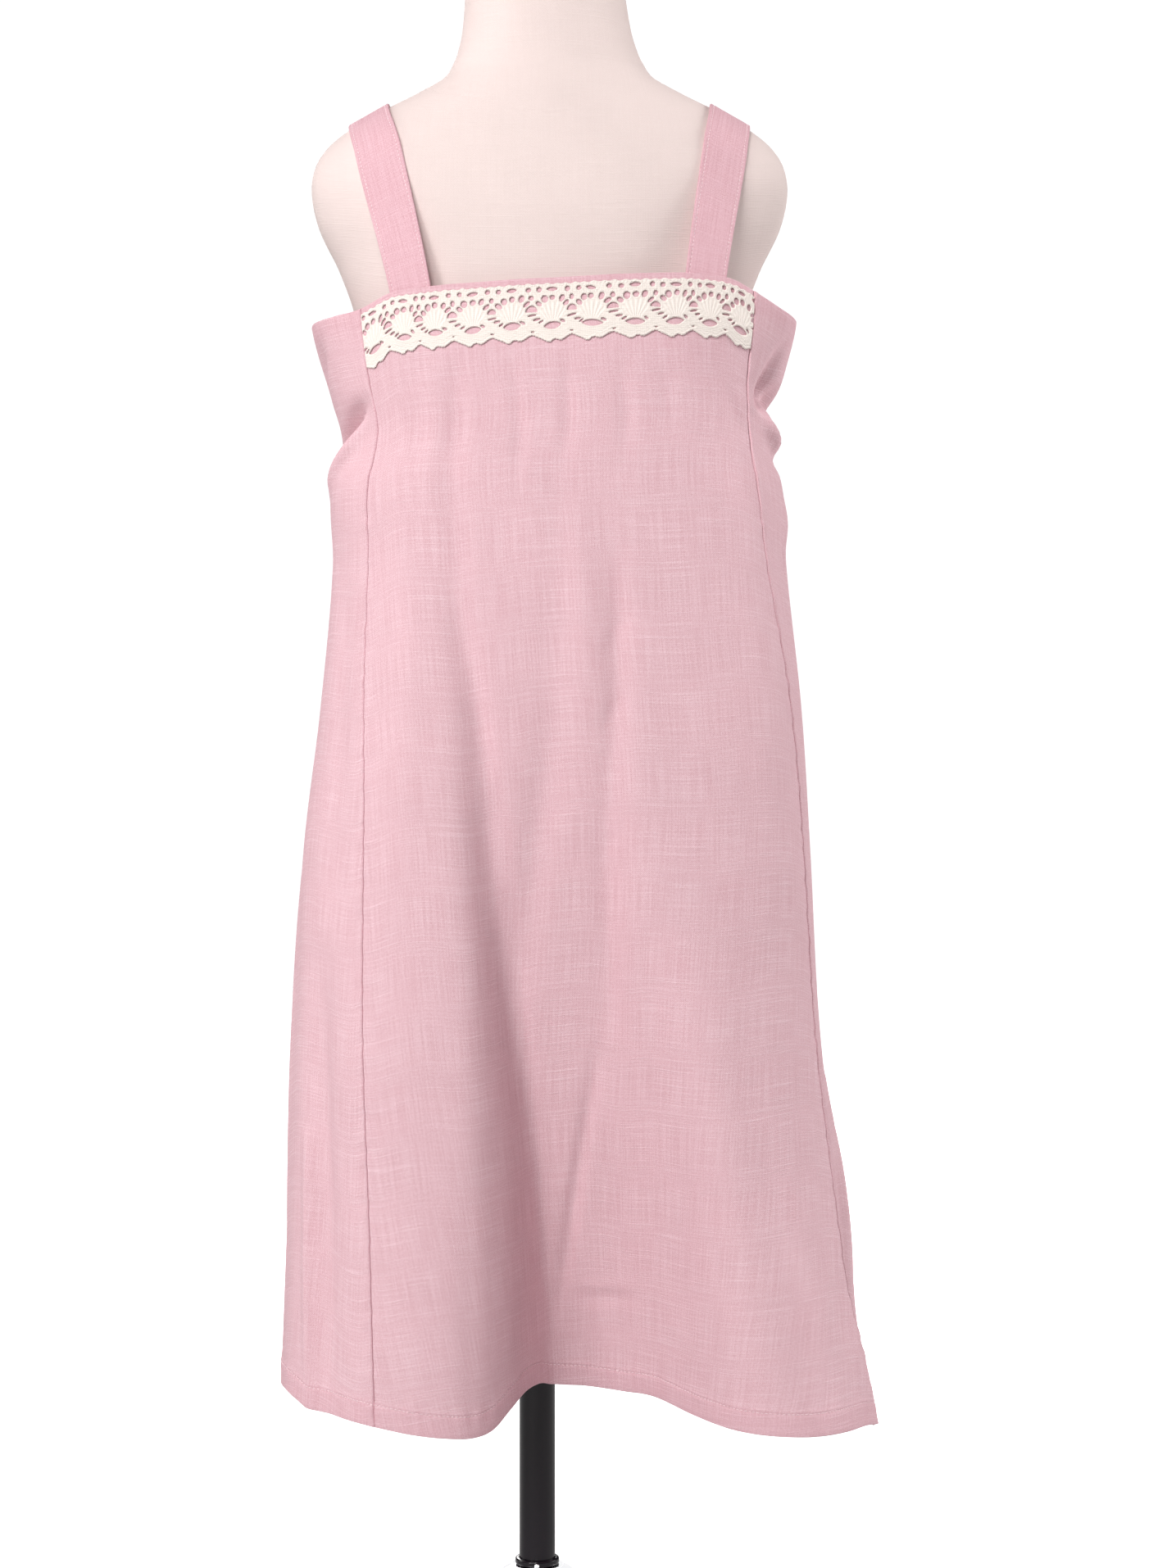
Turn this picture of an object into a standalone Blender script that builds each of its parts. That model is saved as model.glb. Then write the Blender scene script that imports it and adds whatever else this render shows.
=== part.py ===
"""A child's sarafan dress hanging on a limbless dress form with a pole stand.

Metres, +Z up, the wearer faces -Y. The origin is the centre of the base plate's underside.
A place around the body is its turn: degrees from the centre front, positive towards +X,
so -90 and 90 are the sides and 180 is the centre back.
"""

import math

import bmesh
import bpy
from mathutils import Vector

# Stand
PLATE_RADIUS = 0.084
PLATE_THICKNESS = 0.009
HUB_RADIUS = 0.036
HUB_NECK_RADIUS = 0.0148
HUB_TOP = 0.0358
HUB_FULLNESS = 0.6
POLE_RADIUS = 0.0101
COLLAR_RADIUS = 0.0124
COLLAR_HEIGHT = 0.0034
SCREW_RADIUS = 0.0014
SCREW_REACH = 0.0028

# Dress form
FORM_CENTRE_X = 0.007
FORM_BOTTOM = 0.492
NECK_FOOT = 0.870
NECK_LEAN = 0.045

# Cloth
CLOTH = 0.0012
STRAP_CLOTH = 0.0016
LACE_CLOTH = 0.0010
STRAP_WIDTH = 0.0225
STRAP_TUCK = 0.015
STRAP_SWING = 2.6
STRAP_STEPS = 56
SHOULDER_REST = 0.0006
LACE_DROP = 0.003
LACE_HEIGHT = 0.030
TOP_LEVEL = 0.745
HEM_LEVEL = 0.130
GAP = 0.0003

# Rows of the cloth below its top edge, and columns across each panel
CLOTH_ROWS = 17
PANEL_COLUMNS = {"front_panel": 56, "side_panel_right": 9, "back_panel": 24, "side_panel_left": 10}

# height, half width, depth at the front, depth at the back, squareness (2 is an ellipse)
FORM_SECTIONS = (
    (0.9450, 0.0440, 0.0448, 0.0448, 2.00),
    (0.9230, 0.0456, 0.0460, 0.0458, 2.00),
    (0.9045, 0.0479, 0.0474, 0.0468, 2.00),
    (0.8950, 0.0502, 0.0484, 0.0474, 2.00),
    (0.8860, 0.0537, 0.0498, 0.0481, 1.96),
    (0.8760, 0.0610, 0.0520, 0.0490, 1.85),
    (0.8670, 0.0780, 0.0560, 0.0510, 1.68),
    (0.8585, 0.0960, 0.0590, 0.0535, 1.62),
    (0.8490, 0.1125, 0.0615, 0.0560, 1.66),
    (0.8390, 0.1250, 0.0640, 0.0590, 1.78),
    (0.8280, 0.1325, 0.0665, 0.0620, 1.90),
    (0.8130, 0.1350, 0.0695, 0.0655, 2.00),
    (0.7920, 0.1305, 0.0730, 0.0700, 2.00),
    (0.7680, 0.1190, 0.0740, 0.0720, 2.10),
    (0.7400, 0.1095, 0.0750, 0.0725, 2.20),
    (0.7000, 0.1040, 0.0760, 0.0720, 2.25),
    (0.6500, 0.1010, 0.0780, 0.0700, 2.25),
    (0.6000, 0.1010, 0.0795, 0.0680, 2.25),
    (0.5500, 0.1050, 0.0785, 0.0690, 2.25),
    (0.5150, 0.1060, 0.0760, 0.0700, 2.25),
    (0.5000, 0.1030, 0.0735, 0.0680, 2.25),
    (0.4920, 0.0960, 0.0670, 0.0620, 2.20),
)

# height, left edge, right edge, depth at the front, depth at the back, squareness
CLOTH_SECTIONS = (
    (0.7600, -0.1285, 0.1475, 0.0860, 0.0800, 2.6),
    (0.7350, -0.1272, 0.1462, 0.0860, 0.0810, 2.6),
    (0.7000, -0.1180, 0.1378, 0.0870, 0.0830, 2.5),
    (0.6700, -0.1100, 0.1355, 0.0885, 0.0850, 2.4),
    (0.6400, -0.1165, 0.1390, 0.0900, 0.0870, 2.4),
    (0.6000, -0.1155, 0.1410, 0.0925, 0.0890, 2.3),
    (0.5200, -0.1225, 0.1495, 0.0970, 0.0930, 2.3),
    (0.4400, -0.1320, 0.1545, 0.1000, 0.0970, 2.3),
    (0.3400, -0.1370, 0.1600, 0.1020, 0.1000, 2.3),
    (0.2400, -0.1410, 0.1730, 0.1030, 0.1030, 2.2),
    (0.1200, -0.1455, 0.1885, 0.1030, 0.1070, 2.2),
)

# turn, height of the top edge, height of the hem
EDGES = (
    (-180, 0.7480, 0.1390),
    (-140, 0.7460, 0.1410),
    (-110, 0.7400, 0.1390),
    (-90, 0.7350, 0.1400),
    (-80, 0.7348, 0.1425),
    (-75, 0.7346, 0.1434),
    (-70, 0.7345, 0.1410),
    (-66, 0.7348, 0.1378),
    (-58, 0.7365, 0.1370),
    (-49, 0.7445, 0.1352),
    (-42, 0.7460, 0.1330),
    (-34, 0.7472, 0.1308),
    (-28, 0.7477, 0.1294),
    (-24, 0.7481, 0.1312),
    (-20, 0.7485, 0.1385),
    (-16, 0.7490, 0.1445),
    (-12, 0.7494, 0.1448),
    (-8, 0.7497, 0.1418),
    (4, 0.7505, 0.1406),
    (20, 0.7521, 0.1380),
    (30, 0.7530, 0.1380),
    (38, 0.7537, 0.1340),
    (44, 0.7541, 0.1314),
    (54, 0.7525, 0.1305),
    (62, 0.7455, 0.1303),
    (70, 0.7400, 0.1285),
    (80, 0.7380, 0.1230),
    (94, 0.7388, 0.1205),
    (110, 0.7400, 0.1245),
    (140, 0.7460, 0.1350),
    (180, 0.7480, 0.1390),
)

# height, then the turn of each seam: left front, right front, right back, left back
SEAMS = (
    (0.7600, -57.4, 60.0, 122.0, -122.0),
    (0.6700, -58.5, 61.8, 122.0, -122.0),
    (0.6000, -59.7, 64.4, 122.0, -123.0),
    (0.5300, -58.0, 69.4, 122.0, -124.0),
    (0.4500, -53.5, 74.0, 123.0, -125.0),
    (0.3300, -51.1, 76.8, 124.0, -127.0),
    (0.1200, -49.3, 77.4, 125.0, -129.0),
)

# name, height where it starts, how it grows (1 evenly, 2 ever faster), turn there, turn at the
# hem, reach to its left and right in degrees at the hem, fullness to its left and right (2 is a
# bell, more is a flatter crest with a steeper flank), how far the cloth stands out (or in, below
# zero) at the hem
FOLDS = (
    ("left ridge", 0.68, 1.6, -50.7, -44.7, 19.0, 20.0, 2.4, 2.2, 0.0150),
    ("main valley", 0.66, 1.634, -49.2, -6.0, 14.65, 50.0, 2.08, 4.2, -0.0860),
    ("right ridge", 0.42, 1.8, 40.0, 50.0, 15.0, 22.0, 2.6, 2.6, 0.0340),
    ("left side fold", 0.55, 2.0, -74.0, -70.0, 9.0, 9.0, 2.6, 2.6, 0.0050),
    ("right side valley", 0.36, 2.0, 84.0, 85.0, 7.0, 7.0, 2.6, 2.6, -0.0110),
    ("right side ridge", 0.4, 2.0, 101.0, 99.0, 11.0, 14.0, 2.6, 2.6, 0.0090),
    ("back right valley", 0.62, 2.0, 150.0, 152.0, 15.0, 13.0, 2.6, 2.6, -0.0340),
    ("back right ridge", 0.6, 2.0, 133.0, 131.0, 10.0, 10.0, 2.6, 2.6, 0.0110),
    ("back centre ridge", 0.6, 2.0, 176.0, -179.0, 13.0, 13.0, 2.6, 2.6, 0.0110),
    ("back left valley", 0.64, 2.0, -156.0, -151.0, 13.0, 16.0, 2.6, 2.6, -0.0300),
    ("left side valley", 0.5, 2.0, -112.0, -110.0, 11.0, 9.0, 2.6, 2.6, -0.0150),
)

# name, across at the front edge, at the shoulder and at the back edge
STRAPS = (
    ("strap_left", -0.0670, -0.0945, -0.0560),
    ("strap_right", 0.0925, 0.1085, 0.0700),
)

SARAFAN = bpy.data.collections.new("sarafan_dress_on_form")


def clear_scene():
    for thing in list(bpy.data.objects):
        bpy.data.objects.remove(thing, do_unlink=True)
    bpy.context.scene.collection.children.link(SARAFAN)


def material(name, colour, roughness, metallic=0.0):
    made = bpy.data.materials.new(name)
    made.use_nodes = True
    shader = made.node_tree.nodes["Principled BSDF"]
    shader.inputs["Base Color"].default_value = (*colour, 1.0)
    shader.inputs["Roughness"].default_value = roughness
    shader.inputs["Metallic"].default_value = metallic
    return made


def between(rows, key):
    """All columns of a table at a key between its rows, on a smooth curve through them."""
    low = 0
    while low < len(rows) - 2 and (key - rows[low + 1][0]) * (rows[-1][0] - rows[0][0]) > 0:
        low += 1
    start, end = rows[low], rows[low + 1]
    before = rows[max(low - 1, 0)]
    after = rows[min(low + 2, len(rows) - 1)]
    span = end[0] - start[0]
    t = min(max((key - start[0]) / span, 0.0), 1.0)
    columns = []
    for a, b, c, d in zip(before[1:], start[1:], end[1:], after[1:]):
        slope_in = (c - a) / (end[0] - before[0]) * span
        slope_out = (d - b) / (after[0] - start[0]) * span
        columns.append(
            (2 * t**3 - 3 * t**2 + 1) * b
            + (t**3 - 2 * t**2 + t) * slope_in
            + (3 * t**2 - 2 * t**3) * c
            + (t**3 - t**2) * slope_out
        )
    return columns


def rounded_section(turn, half_width, front, back, squareness):
    """A point on a rounded section and its outward normal, both about the section's centre."""
    side = math.sin(math.radians(turn))
    ahead = math.cos(math.radians(turn))
    depth = front if ahead > 0 else back
    reach = abs(side / half_width) ** squareness + abs(ahead / depth) ** squareness
    radius = reach ** (-1 / squareness)
    across = radius * side
    along = -radius * ahead
    normal = Vector(
        (
            math.copysign(abs(across / half_width) ** (squareness - 1) / half_width, side),
            math.copysign(abs(along / depth) ** (squareness - 1) / depth, -ahead),
            0.0,
        )
    )
    return across, along, normal.normalized()


def turn_apart(turn, other):
    return (turn - other + 180) % 360 - 180


def fold_out(turn, height):
    """How far the folds push the cloth out of its plain section at this place."""
    out = 0.0
    for _, start, growth, turn_high, turn_hem, left, right, full_left, full_right, depth in FOLDS:
        grown = (start - height) / (start - HEM_LEVEL)
        if grown <= 0:
            continue
        swing = turn_apart(turn_hem, turn_high)
        centre = turn_high + swing * (1 - max(1 - grown, 0) ** 3)
        apart = turn_apart(turn, centre)
        reach, fullness = (left, full_left) if apart < 0 else (right, full_right)
        share = abs(apart) / (reach * (0.55 + 0.45 * grown))
        out += depth * grown**growth * math.exp(-(share**fullness))
    return out


def cloth_point(turn, height, raised=0.0):
    """A point of the cloth's outer face, moved out by raised."""
    left, right, front, back, squareness = between(CLOTH_SECTIONS, height)
    half_width = (right - left) / 2
    across, along, normal = rounded_section(turn, half_width, front, back, squareness)
    centre = Vector(((left + right) / 2, 0, 0))
    return centre + Vector((across, along, height)) + normal * (fold_out(turn, height) + raised)


def seam_turns(panel, height):
    """The turns between which a panel lies at this height."""
    left_front, right_front, right_back, left_back = between(SEAMS, height)
    return {
        "front_panel": (left_front, right_front),
        "side_panel_right": (right_front, right_back),
        "back_panel": (right_back, left_back + 360),
        "side_panel_left": (left_back, left_front),
    }[panel]


def panel_turn(panel, share, height):
    start, end = seam_turns(panel, height)
    return start + (end - start) * share


def row_heights(panel, share):
    """Heights of the rows down a panel: the lace's own rows, then even ones to the hem."""
    top = between(EDGES, turn_apart(panel_turn(panel, share, TOP_LEVEL), 0))[0]
    hem = between(EDGES, turn_apart(panel_turn(panel, share, HEM_LEVEL), 0))[1]
    lace_rows = [0, LACE_DROP, LACE_DROP + LACE_HEIGHT / 2, LACE_DROP + LACE_HEIGHT]
    below = top - hem - lace_rows[-1]
    drops = lace_rows + [lace_rows[-1] + below * (k + 1) / CLOTH_ROWS for k in range(CLOTH_ROWS)]
    return [top - drop for drop in drops]


def panel_grid(panel, raised, inset, rows=slice(None)):
    """Rows of points over one panel, from one seam to the other and from the top to the hem."""
    columns = PANEL_COLUMNS[panel]
    lines = []
    for column in range(columns + 1):
        share = column / columns
        line = []
        for height in row_heights(panel, share)[rows]:
            turn = panel_turn(panel, share, height)
            point = cloth_point(turn, height, raised)
            along_row = (cloth_point(turn + 0.1, height, raised) - point).normalized()
            if column == 0:
                point = point + along_row * inset
            if column == columns:
                point = point - along_row * inset
            line.append(point)
        lines.append(line)
    return [list(row) for row in zip(*lines)]


def link_mesh(name, mesh, surface, smooth=True):
    mesh.materials.append(surface)
    if smooth:
        mesh.shade_smooth()
        mesh.set_sharp_from_angle(angle=math.radians(40))
    made = bpy.data.objects.new(name, mesh)
    SARAFAN.objects.link(made)
    return made


def cloth_wall(name, grid, thickness, surface):
    """A loft over rows of points, which are its inner face, thickened outwards."""
    work = bmesh.new()
    verts = [[work.verts.new(point) for point in row] for row in grid]
    for upper, lower in zip(verts, verts[1:]):
        for k in range(len(upper) - 1):
            work.faces.new((upper[k], lower[k], lower[k + 1], upper[k + 1]))
    mesh = bpy.data.meshes.new(name)
    work.to_mesh(mesh)
    work.free()
    made = link_mesh(name, mesh, surface)
    wall = made.modifiers.new("wall", "SOLIDIFY")
    wall.thickness = thickness
    wall.offset = 1.0
    wall.use_even_offset = True
    return made


def turned(name, profile, surface, segments=48):
    """A solid of revolution about Z from a profile that runs from top to bottom outside."""
    mesh = bpy.data.meshes.new(name)
    mesh.from_pydata(profile, [(k, k + 1) for k in range(len(profile) - 1)], [])
    made = link_mesh(name, mesh, surface, smooth=False)
    screw = made.modifiers.new("turn", "SCREW")
    screw.steps = segments
    screw.render_steps = segments
    screw.use_merge_vertices = True
    screw.merge_threshold = 0.0001
    return made


def round_bar(name, radius, bottom, top, surface, segments=40):
    work = bmesh.new()
    bmesh.ops.create_cone(
        work, cap_ends=True, segments=segments, radius1=radius, radius2=radius, depth=top - bottom
    )
    bmesh.ops.translate(work, vec=(0, 0, (top + bottom) / 2), verts=work.verts)
    mesh = bpy.data.meshes.new(name)
    work.to_mesh(mesh)
    work.free()
    return link_mesh(name, mesh, surface)


def base_plate(surface):
    plate = round_bar("stand_plate", PLATE_RADIUS, 0, PLATE_THICKNESS, surface, segments=64)
    edge = plate.modifiers.new("edge", "BEVEL")
    edge.width = 0.002
    edge.segments = 2
    edge.limit_method = "ANGLE"
    return plate


def base_hub(surface):
    """The domed socket on the plate, with a blind bore that takes the foot of the pole."""
    bottom = PLATE_THICKNESS + GAP
    bore = POLE_RADIUS + GAP
    floor = bottom + 0.004
    low, high = bottom + 0.002, HUB_TOP - 0.001
    dome = [
        (
            HUB_NECK_RADIUS + (HUB_RADIUS - HUB_NECK_RADIUS) * (1 - share) ** HUB_FULLNESS,
            0,
            low + (high - low) * share,
        )
        for share in (0.98, 0.93, 0.85, 0.7, 0.5, 0.25, 0.0)
    ]
    profile = [(0, 0, floor), (bore, 0, floor), (bore, 0, HUB_TOP), (HUB_NECK_RADIUS, 0, HUB_TOP)]
    profile += dome + [(HUB_RADIUS, 0, bottom), (0, 0, bottom)]
    return turned("stand_hub", profile, surface)


def pole(surface):
    foot = PLATE_THICKNESS + GAP + 0.004 + GAP
    return round_bar("stand_pole", POLE_RADIUS, foot, FORM_BOTTOM - GAP, surface)


def collar(surface):
    """The ring that clamps the pole over the hub."""
    bottom = HUB_TOP + GAP
    top = bottom + COLLAR_HEIGHT
    bore = POLE_RADIUS + GAP
    round_off = 0.0010
    profile = [
        (bore, 0, top),
        (COLLAR_RADIUS - round_off, 0, top),
        (COLLAR_RADIUS, 0, top - round_off),
        (COLLAR_RADIUS, 0, bottom + round_off),
        (COLLAR_RADIUS - round_off, 0, bottom),
        (bore, 0, bottom),
        (bore, 0, top),
    ]
    return turned("stand_collar", profile, surface)


def collar_screw(surface):
    """The small screw's head, facing the front of the collar."""
    screw = round_bar("collar_screw", SCREW_RADIUS, 0, SCREW_REACH, surface, segments=20)
    screw.rotation_euler = (math.radians(90), 0, 0)
    screw.location = (0, -COLLAR_RADIUS - GAP, HUB_TOP + GAP + COLLAR_HEIGHT / 2)
    return screw


def form_body(surface):
    """Torso and neck as one covered shell: rings through the section table, closed at its ends."""
    segments = 36
    heights = []
    for upper, lower in zip(FORM_SECTIONS, FORM_SECTIONS[1:]):
        parts = 2 if upper[0] - lower[0] > 0.03 else 1
        heights += [upper[0] + (lower[0] - upper[0]) * k / parts for k in range(parts)]
    heights.append(FORM_BOTTOM)
    work = bmesh.new()
    rings = []
    for height in heights:
        section = between(FORM_SECTIONS, height)
        centre = FORM_CENTRE_X - NECK_LEAN * max(height - NECK_FOOT, 0)
        ring = []
        for k in range(segments):
            across, along, _ = rounded_section(360 * k / segments, *section)
            ring.append(work.verts.new((centre + across, along, height)))
        rings.append(ring)
    for upper, lower in zip(rings, rings[1:]):
        for k in range(segments):
            after = (k + 1) % segments
            work.faces.new((upper[k], lower[k], lower[after], upper[after]))
    work.faces.new(rings[0])
    work.faces.new(reversed(rings[-1]))
    mesh = bpy.data.meshes.new("form_body")
    work.to_mesh(mesh)
    work.free()
    return link_mesh("form_body", mesh, surface)


def form_top(across, along):
    """Height at which a strap rests on the shoulder over a place in plan, found by halving."""

    def inside(height):
        half_width, front, back, squareness = between(FORM_SECTIONS, height)
        depth = (front if along < 0 else back) + SHOULDER_REST
        reach = abs((across - FORM_CENTRE_X) / (half_width + SHOULDER_REST)) ** squareness
        return reach + abs(along / depth) ** squareness <= 1

    low, high = 0.80, 0.90
    if not inside(low):
        return None
    for _ in range(30):
        middle = (low + high) / 2
        low, high = (middle, high) if inside(middle) else (low, middle)
    return low + SHOULDER_REST


def seat_inside(across, at_front):
    """Where a strap's inner face lies inside a panel's top edge, at a place across it."""
    inward = -(CLOTH + 3 * GAP + STRAP_CLOTH)
    low, high = (-85, 85) if at_front else (265, 95)
    for _ in range(30):
        turn = (low + high) / 2
        height = between(EDGES, turn_apart(turn, 0))[0]
        point = cloth_point(turn, height, inward)
        low, high = (turn, high) if point.x < across else (low, turn)
    return point.y, point.z


def taut(points):
    """The upper hull of a profile: how a strap under load spans between what it touches."""
    hull = []
    for point in points:
        while len(hull) > 1:
            (y0, z0), (y1, z1) = hull[-2:]
            if (y1 - y0) * (point[1] - z0) < (z1 - z0) * (point[0] - y0):
                break
            hull.pop()
        hull.append(point)
    return hull


def strap_line(row, aside):
    """One lengthwise line of a strap, aside from its middle: front edge, shoulder, back edge."""
    _, at_front, at_top, at_back = row
    y_front, z_front = seat_inside(at_front + aside, True)
    y_back, z_back = seat_inside(at_back + aside, False)

    def across_at(along):
        at_end = at_front if along < 0 else at_back
        share = along / (y_front if along < 0 else y_back)
        return at_top + (at_end - at_top) * abs(share) ** STRAP_SWING + aside

    profile = [(y_front, z_front)]
    steps = 60
    for k in range(1, steps):
        along = y_front + (y_back - y_front) * k / steps
        top = form_top(across_at(along), along)
        if top is not None:
            profile.append((along, top))
    profile.append((y_back, z_back))
    hull = taut(profile)
    line = [(y_front, z_front - STRAP_TUCK)] + hull + [(y_back, z_back - STRAP_TUCK)]
    return [Vector((across_at(along), along, height)) for along, height in line]


def even_line(points, count):
    """The same line with evenly spaced points."""
    lengths = [0.0]
    for a, b in zip(points, points[1:]):
        lengths.append(lengths[-1] + (b - a).length)
    even = []
    k = 0
    for n in range(count + 1):
        target = lengths[-1] * n / count
        while k < len(points) - 2 and lengths[k + 1] < target:
            k += 1
        share = (target - lengths[k]) / (lengths[k + 1] - lengths[k])
        even.append(points[k].lerp(points[k + 1], share))
    return even


def strap(row, surface):
    lines = 4
    asides = [STRAP_WIDTH * (k / (lines - 1) - 0.5) for k in range(lines)]
    grid = [even_line(strap_line(row, aside), STRAP_STEPS) for aside in asides]
    return cloth_wall(row[0], grid, STRAP_CLOTH, surface)


def dress(cloth, strap_cloth, lace_cloth):
    for panel in PANEL_COLUMNS:
        cloth_wall(panel, panel_grid(panel, -CLOTH, GAP / 2), CLOTH, cloth)
    for row in STRAPS:
        strap(row, strap_cloth)
    lace_grid = panel_grid("front_panel", GAP, 2 * GAP, rows=slice(1, 4))
    cloth_wall("front_lace", lace_grid, LACE_CLOTH, lace_cloth)


def build():
    clear_scene()
    black = material("black_lacquer", (0.012, 0.011, 0.013), 0.32)
    steel = material("polished_steel", (0.62, 0.62, 0.64), 0.24, 1.0)
    cover = material("form_linen", (0.87, 0.79, 0.71), 0.85)
    pink = material("pink_slub_linen", (0.62, 0.38, 0.41), 0.86)
    band = material("pink_strap_linen", (0.63, 0.39, 0.42), 0.86)
    cream = material("cream_cotton_lace", (0.90, 0.83, 0.74), 0.9)
    base_plate(steel)
    base_hub(steel)
    pole(black)
    collar(black)
    collar_screw(steel)
    form_body(cover)
    dress(pink, band, cream)


build()
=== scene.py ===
"""A child's sarafan of pink slub linen with a lace-trimmed bib, on a limbless dress form."""

import math

import bpy
import numpy as np
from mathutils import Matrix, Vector


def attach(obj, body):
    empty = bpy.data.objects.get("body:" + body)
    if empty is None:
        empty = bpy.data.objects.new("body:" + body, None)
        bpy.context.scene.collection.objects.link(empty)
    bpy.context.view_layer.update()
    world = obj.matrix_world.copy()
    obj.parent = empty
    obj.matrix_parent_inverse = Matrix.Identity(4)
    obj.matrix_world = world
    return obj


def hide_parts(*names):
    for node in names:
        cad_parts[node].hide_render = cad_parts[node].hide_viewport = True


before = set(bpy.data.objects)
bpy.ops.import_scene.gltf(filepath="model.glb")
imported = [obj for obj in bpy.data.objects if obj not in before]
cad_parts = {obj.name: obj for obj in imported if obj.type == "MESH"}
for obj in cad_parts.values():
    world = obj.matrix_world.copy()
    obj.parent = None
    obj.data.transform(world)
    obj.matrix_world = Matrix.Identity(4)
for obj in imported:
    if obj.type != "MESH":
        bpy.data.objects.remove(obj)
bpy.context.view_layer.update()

# The studio: grey paper that glows white to the camera and in mirrors, a painted light that is dimmer
# near the stand, under white air, two broad lamps high ahead on the left, one at the left
# and two at the right that lighten the dress's edges, and one behind it for the views of its back.
# The camera stands level with its waist.


def wire(tree, kind, given=None, **settings):
    """A node with its settings; its inputs are given as values, or as sockets to link."""
    made = tree.nodes.new(kind)
    for name, value in settings.items():
        setattr(made, name, value)
    for place, value in (given or {}).items():
        if isinstance(value, bpy.types.NodeSocket):
            tree.links.new(value, made.inputs[place])
        else:
            made.inputs[place].default_value = value
    return made


def finish(name, **values):
    """A material with one Principled shader, whose plain values are set by socket name."""
    made = bpy.data.materials.new(name)
    made.use_nodes = True
    shader = made.node_tree.nodes["Principled BSDF"]
    for socket, value in values.items():
        shader.inputs[socket.replace("_", " ")].default_value = value
    return made, made.node_tree, shader


def coat(shader, **values):
    """Links values to a shader's sockets by name."""
    for socket, value in values.items():
        shader.id_data.links.new(value, shader.inputs[socket.replace("_", " ")])


def noise(tree, place, scale, detail=2.0, distortion=0.0):
    values = {"Vector": place, "Scale": scale, "Detail": detail, "Distortion": distortion}
    return wire(tree, "ShaderNodeTexNoise", values).outputs["Fac"]


def spread(tree, value, low, high, to_low=0.0, to_high=1.0):
    """A value's range from low to high, laid over another range."""
    values = {"Value": value, "From Min": low, "From Max": high, "To Min": to_low, "To Max": to_high}
    return wire(tree, "ShaderNodeMapRange", values).outputs[0]


def blend(tree, share, first, second):
    """A colour that passes from the first to the second with a share from 0 to 1."""
    values = {0: share, 6: (*first, 1), 7: (*second, 1)}
    return wire(tree, "ShaderNodeMix", values, data_type="RGBA").outputs[2]


def seen_plainly(tree):
    """1 for what the camera sees, straight or in a mirror, and 0 for the light on other things."""
    path = wire(tree, "ShaderNodeLightPath").outputs
    rays = {0: path["Is Camera Ray"], 1: path["Is Singular Ray"]}
    return wire(tree, "ShaderNodeMath", rays, operation="MAXIMUM").outputs[0]


def lamp(name, place, aim, size, power, colour):
    data = bpy.data.lights.new(name, "AREA")
    data.shape = "RECTANGLE"
    data.size, data.size_y = size
    data.energy = power
    data.color = colour
    made = bpy.data.objects.new(name, data)
    made.location = place
    made.rotation_euler = (Vector(aim) - Vector(place)).to_track_quat("-Z", "Y").to_euler()
    bpy.context.scene.collection.objects.link(made)


FLOOR_REACH = 5.0
floor_mesh = bpy.data.meshes.new("studio_floor")
floor_mesh.from_pydata(
    [(x * FLOOR_REACH, y * FLOOR_REACH, 0) for x, y in ((-1, -1), (1, -1), (1, 1), (-1, 1))],
    [],
    [(0, 1, 2, 3)],
)
floor = bpy.data.objects.new("studio_floor", floor_mesh)
bpy.context.scene.collection.objects.link(floor)
paper, paper_tree, paper_shader = finish("grey_paper_with_painted_glow", Roughness=0.9, Emission_Color=(1, 1, 1, 1))
paper_place = wire(paper_tree, "ShaderNodeTexCoord").outputs["Object"]
paper_mottle = noise(paper_tree, paper_place, 1.5)
paper_tone = blend(paper_tree, paper_mottle, (0.50, 0.50, 0.50), (0.54, 0.538, 0.535))
paper_far = wire(paper_tree, "ShaderNodeVectorMath", {0: paper_place}, operation="LENGTH").outputs["Value"]
# Painted light: the paper's glow is seen only by the camera and in mirrors. It rises from dim near the
# stand to bright further out.
painted_floor_glow_ramp = spread(paper_tree, paper_far, 0.12, 0.9, 0.80, 1.2)
painted_floor_glow_parts = {0: painted_floor_glow_ramp, 1: seen_plainly(paper_tree)}
painted_floor_glow = wire(paper_tree, "ShaderNodeMath", painted_floor_glow_parts, operation="MULTIPLY").outputs[0]
coat(paper_shader, Base_Color=paper_tone, Emission_Strength=painted_floor_glow)
floor_mesh.materials.append(paper)

air = bpy.data.worlds.new("white_air")
bpy.context.scene.world = air
air.use_nodes = True
air_tree = air.node_tree
air_tree.nodes.clear()
lighting = wire(air_tree, "ShaderNodeBackground", {"Color": (0.97, 0.98, 1.0, 1), "Strength": 0.03})
backdrop = wire(air_tree, "ShaderNodeBackground", {"Color": (1, 1, 1, 1), "Strength": 1.06})
both = {0: seen_plainly(air_tree), 1: lighting.outputs[0], 2: backdrop.outputs[0]}
mixed = wire(air_tree, "ShaderNodeMixShader", both).outputs[0]
wire(air_tree, "ShaderNodeOutputWorld", {"Surface": mixed})
bpy.context.scene.view_settings.view_transform = "Standard"

WAIST = (0.02, 0, 0.45)
for lamp_name, lamp_place, lamp_power in (
    ("left_edge_lamp", (-2.367, 0.634, 1.4), 22.0),
    ("broad_lamp", (-1.405, -2.007, 1.4), 30.0),
    ("high_lamp", (-0.569, -2.125, 2.3), 49.5),
    ("right_edge_lamp", (2.441, -0.214, 1.4), 17.0),
    ("right_back_lamp", (2.367, 0.634, 1.4), 33.0),
    ("back_lamp", (-0.426, 2.413, 1.4), 34.0),
):
    lamp(lamp_name, lamp_place, WAIST, (0.8, 1.3), lamp_power, (1.0, 0.99, 0.98))

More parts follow.
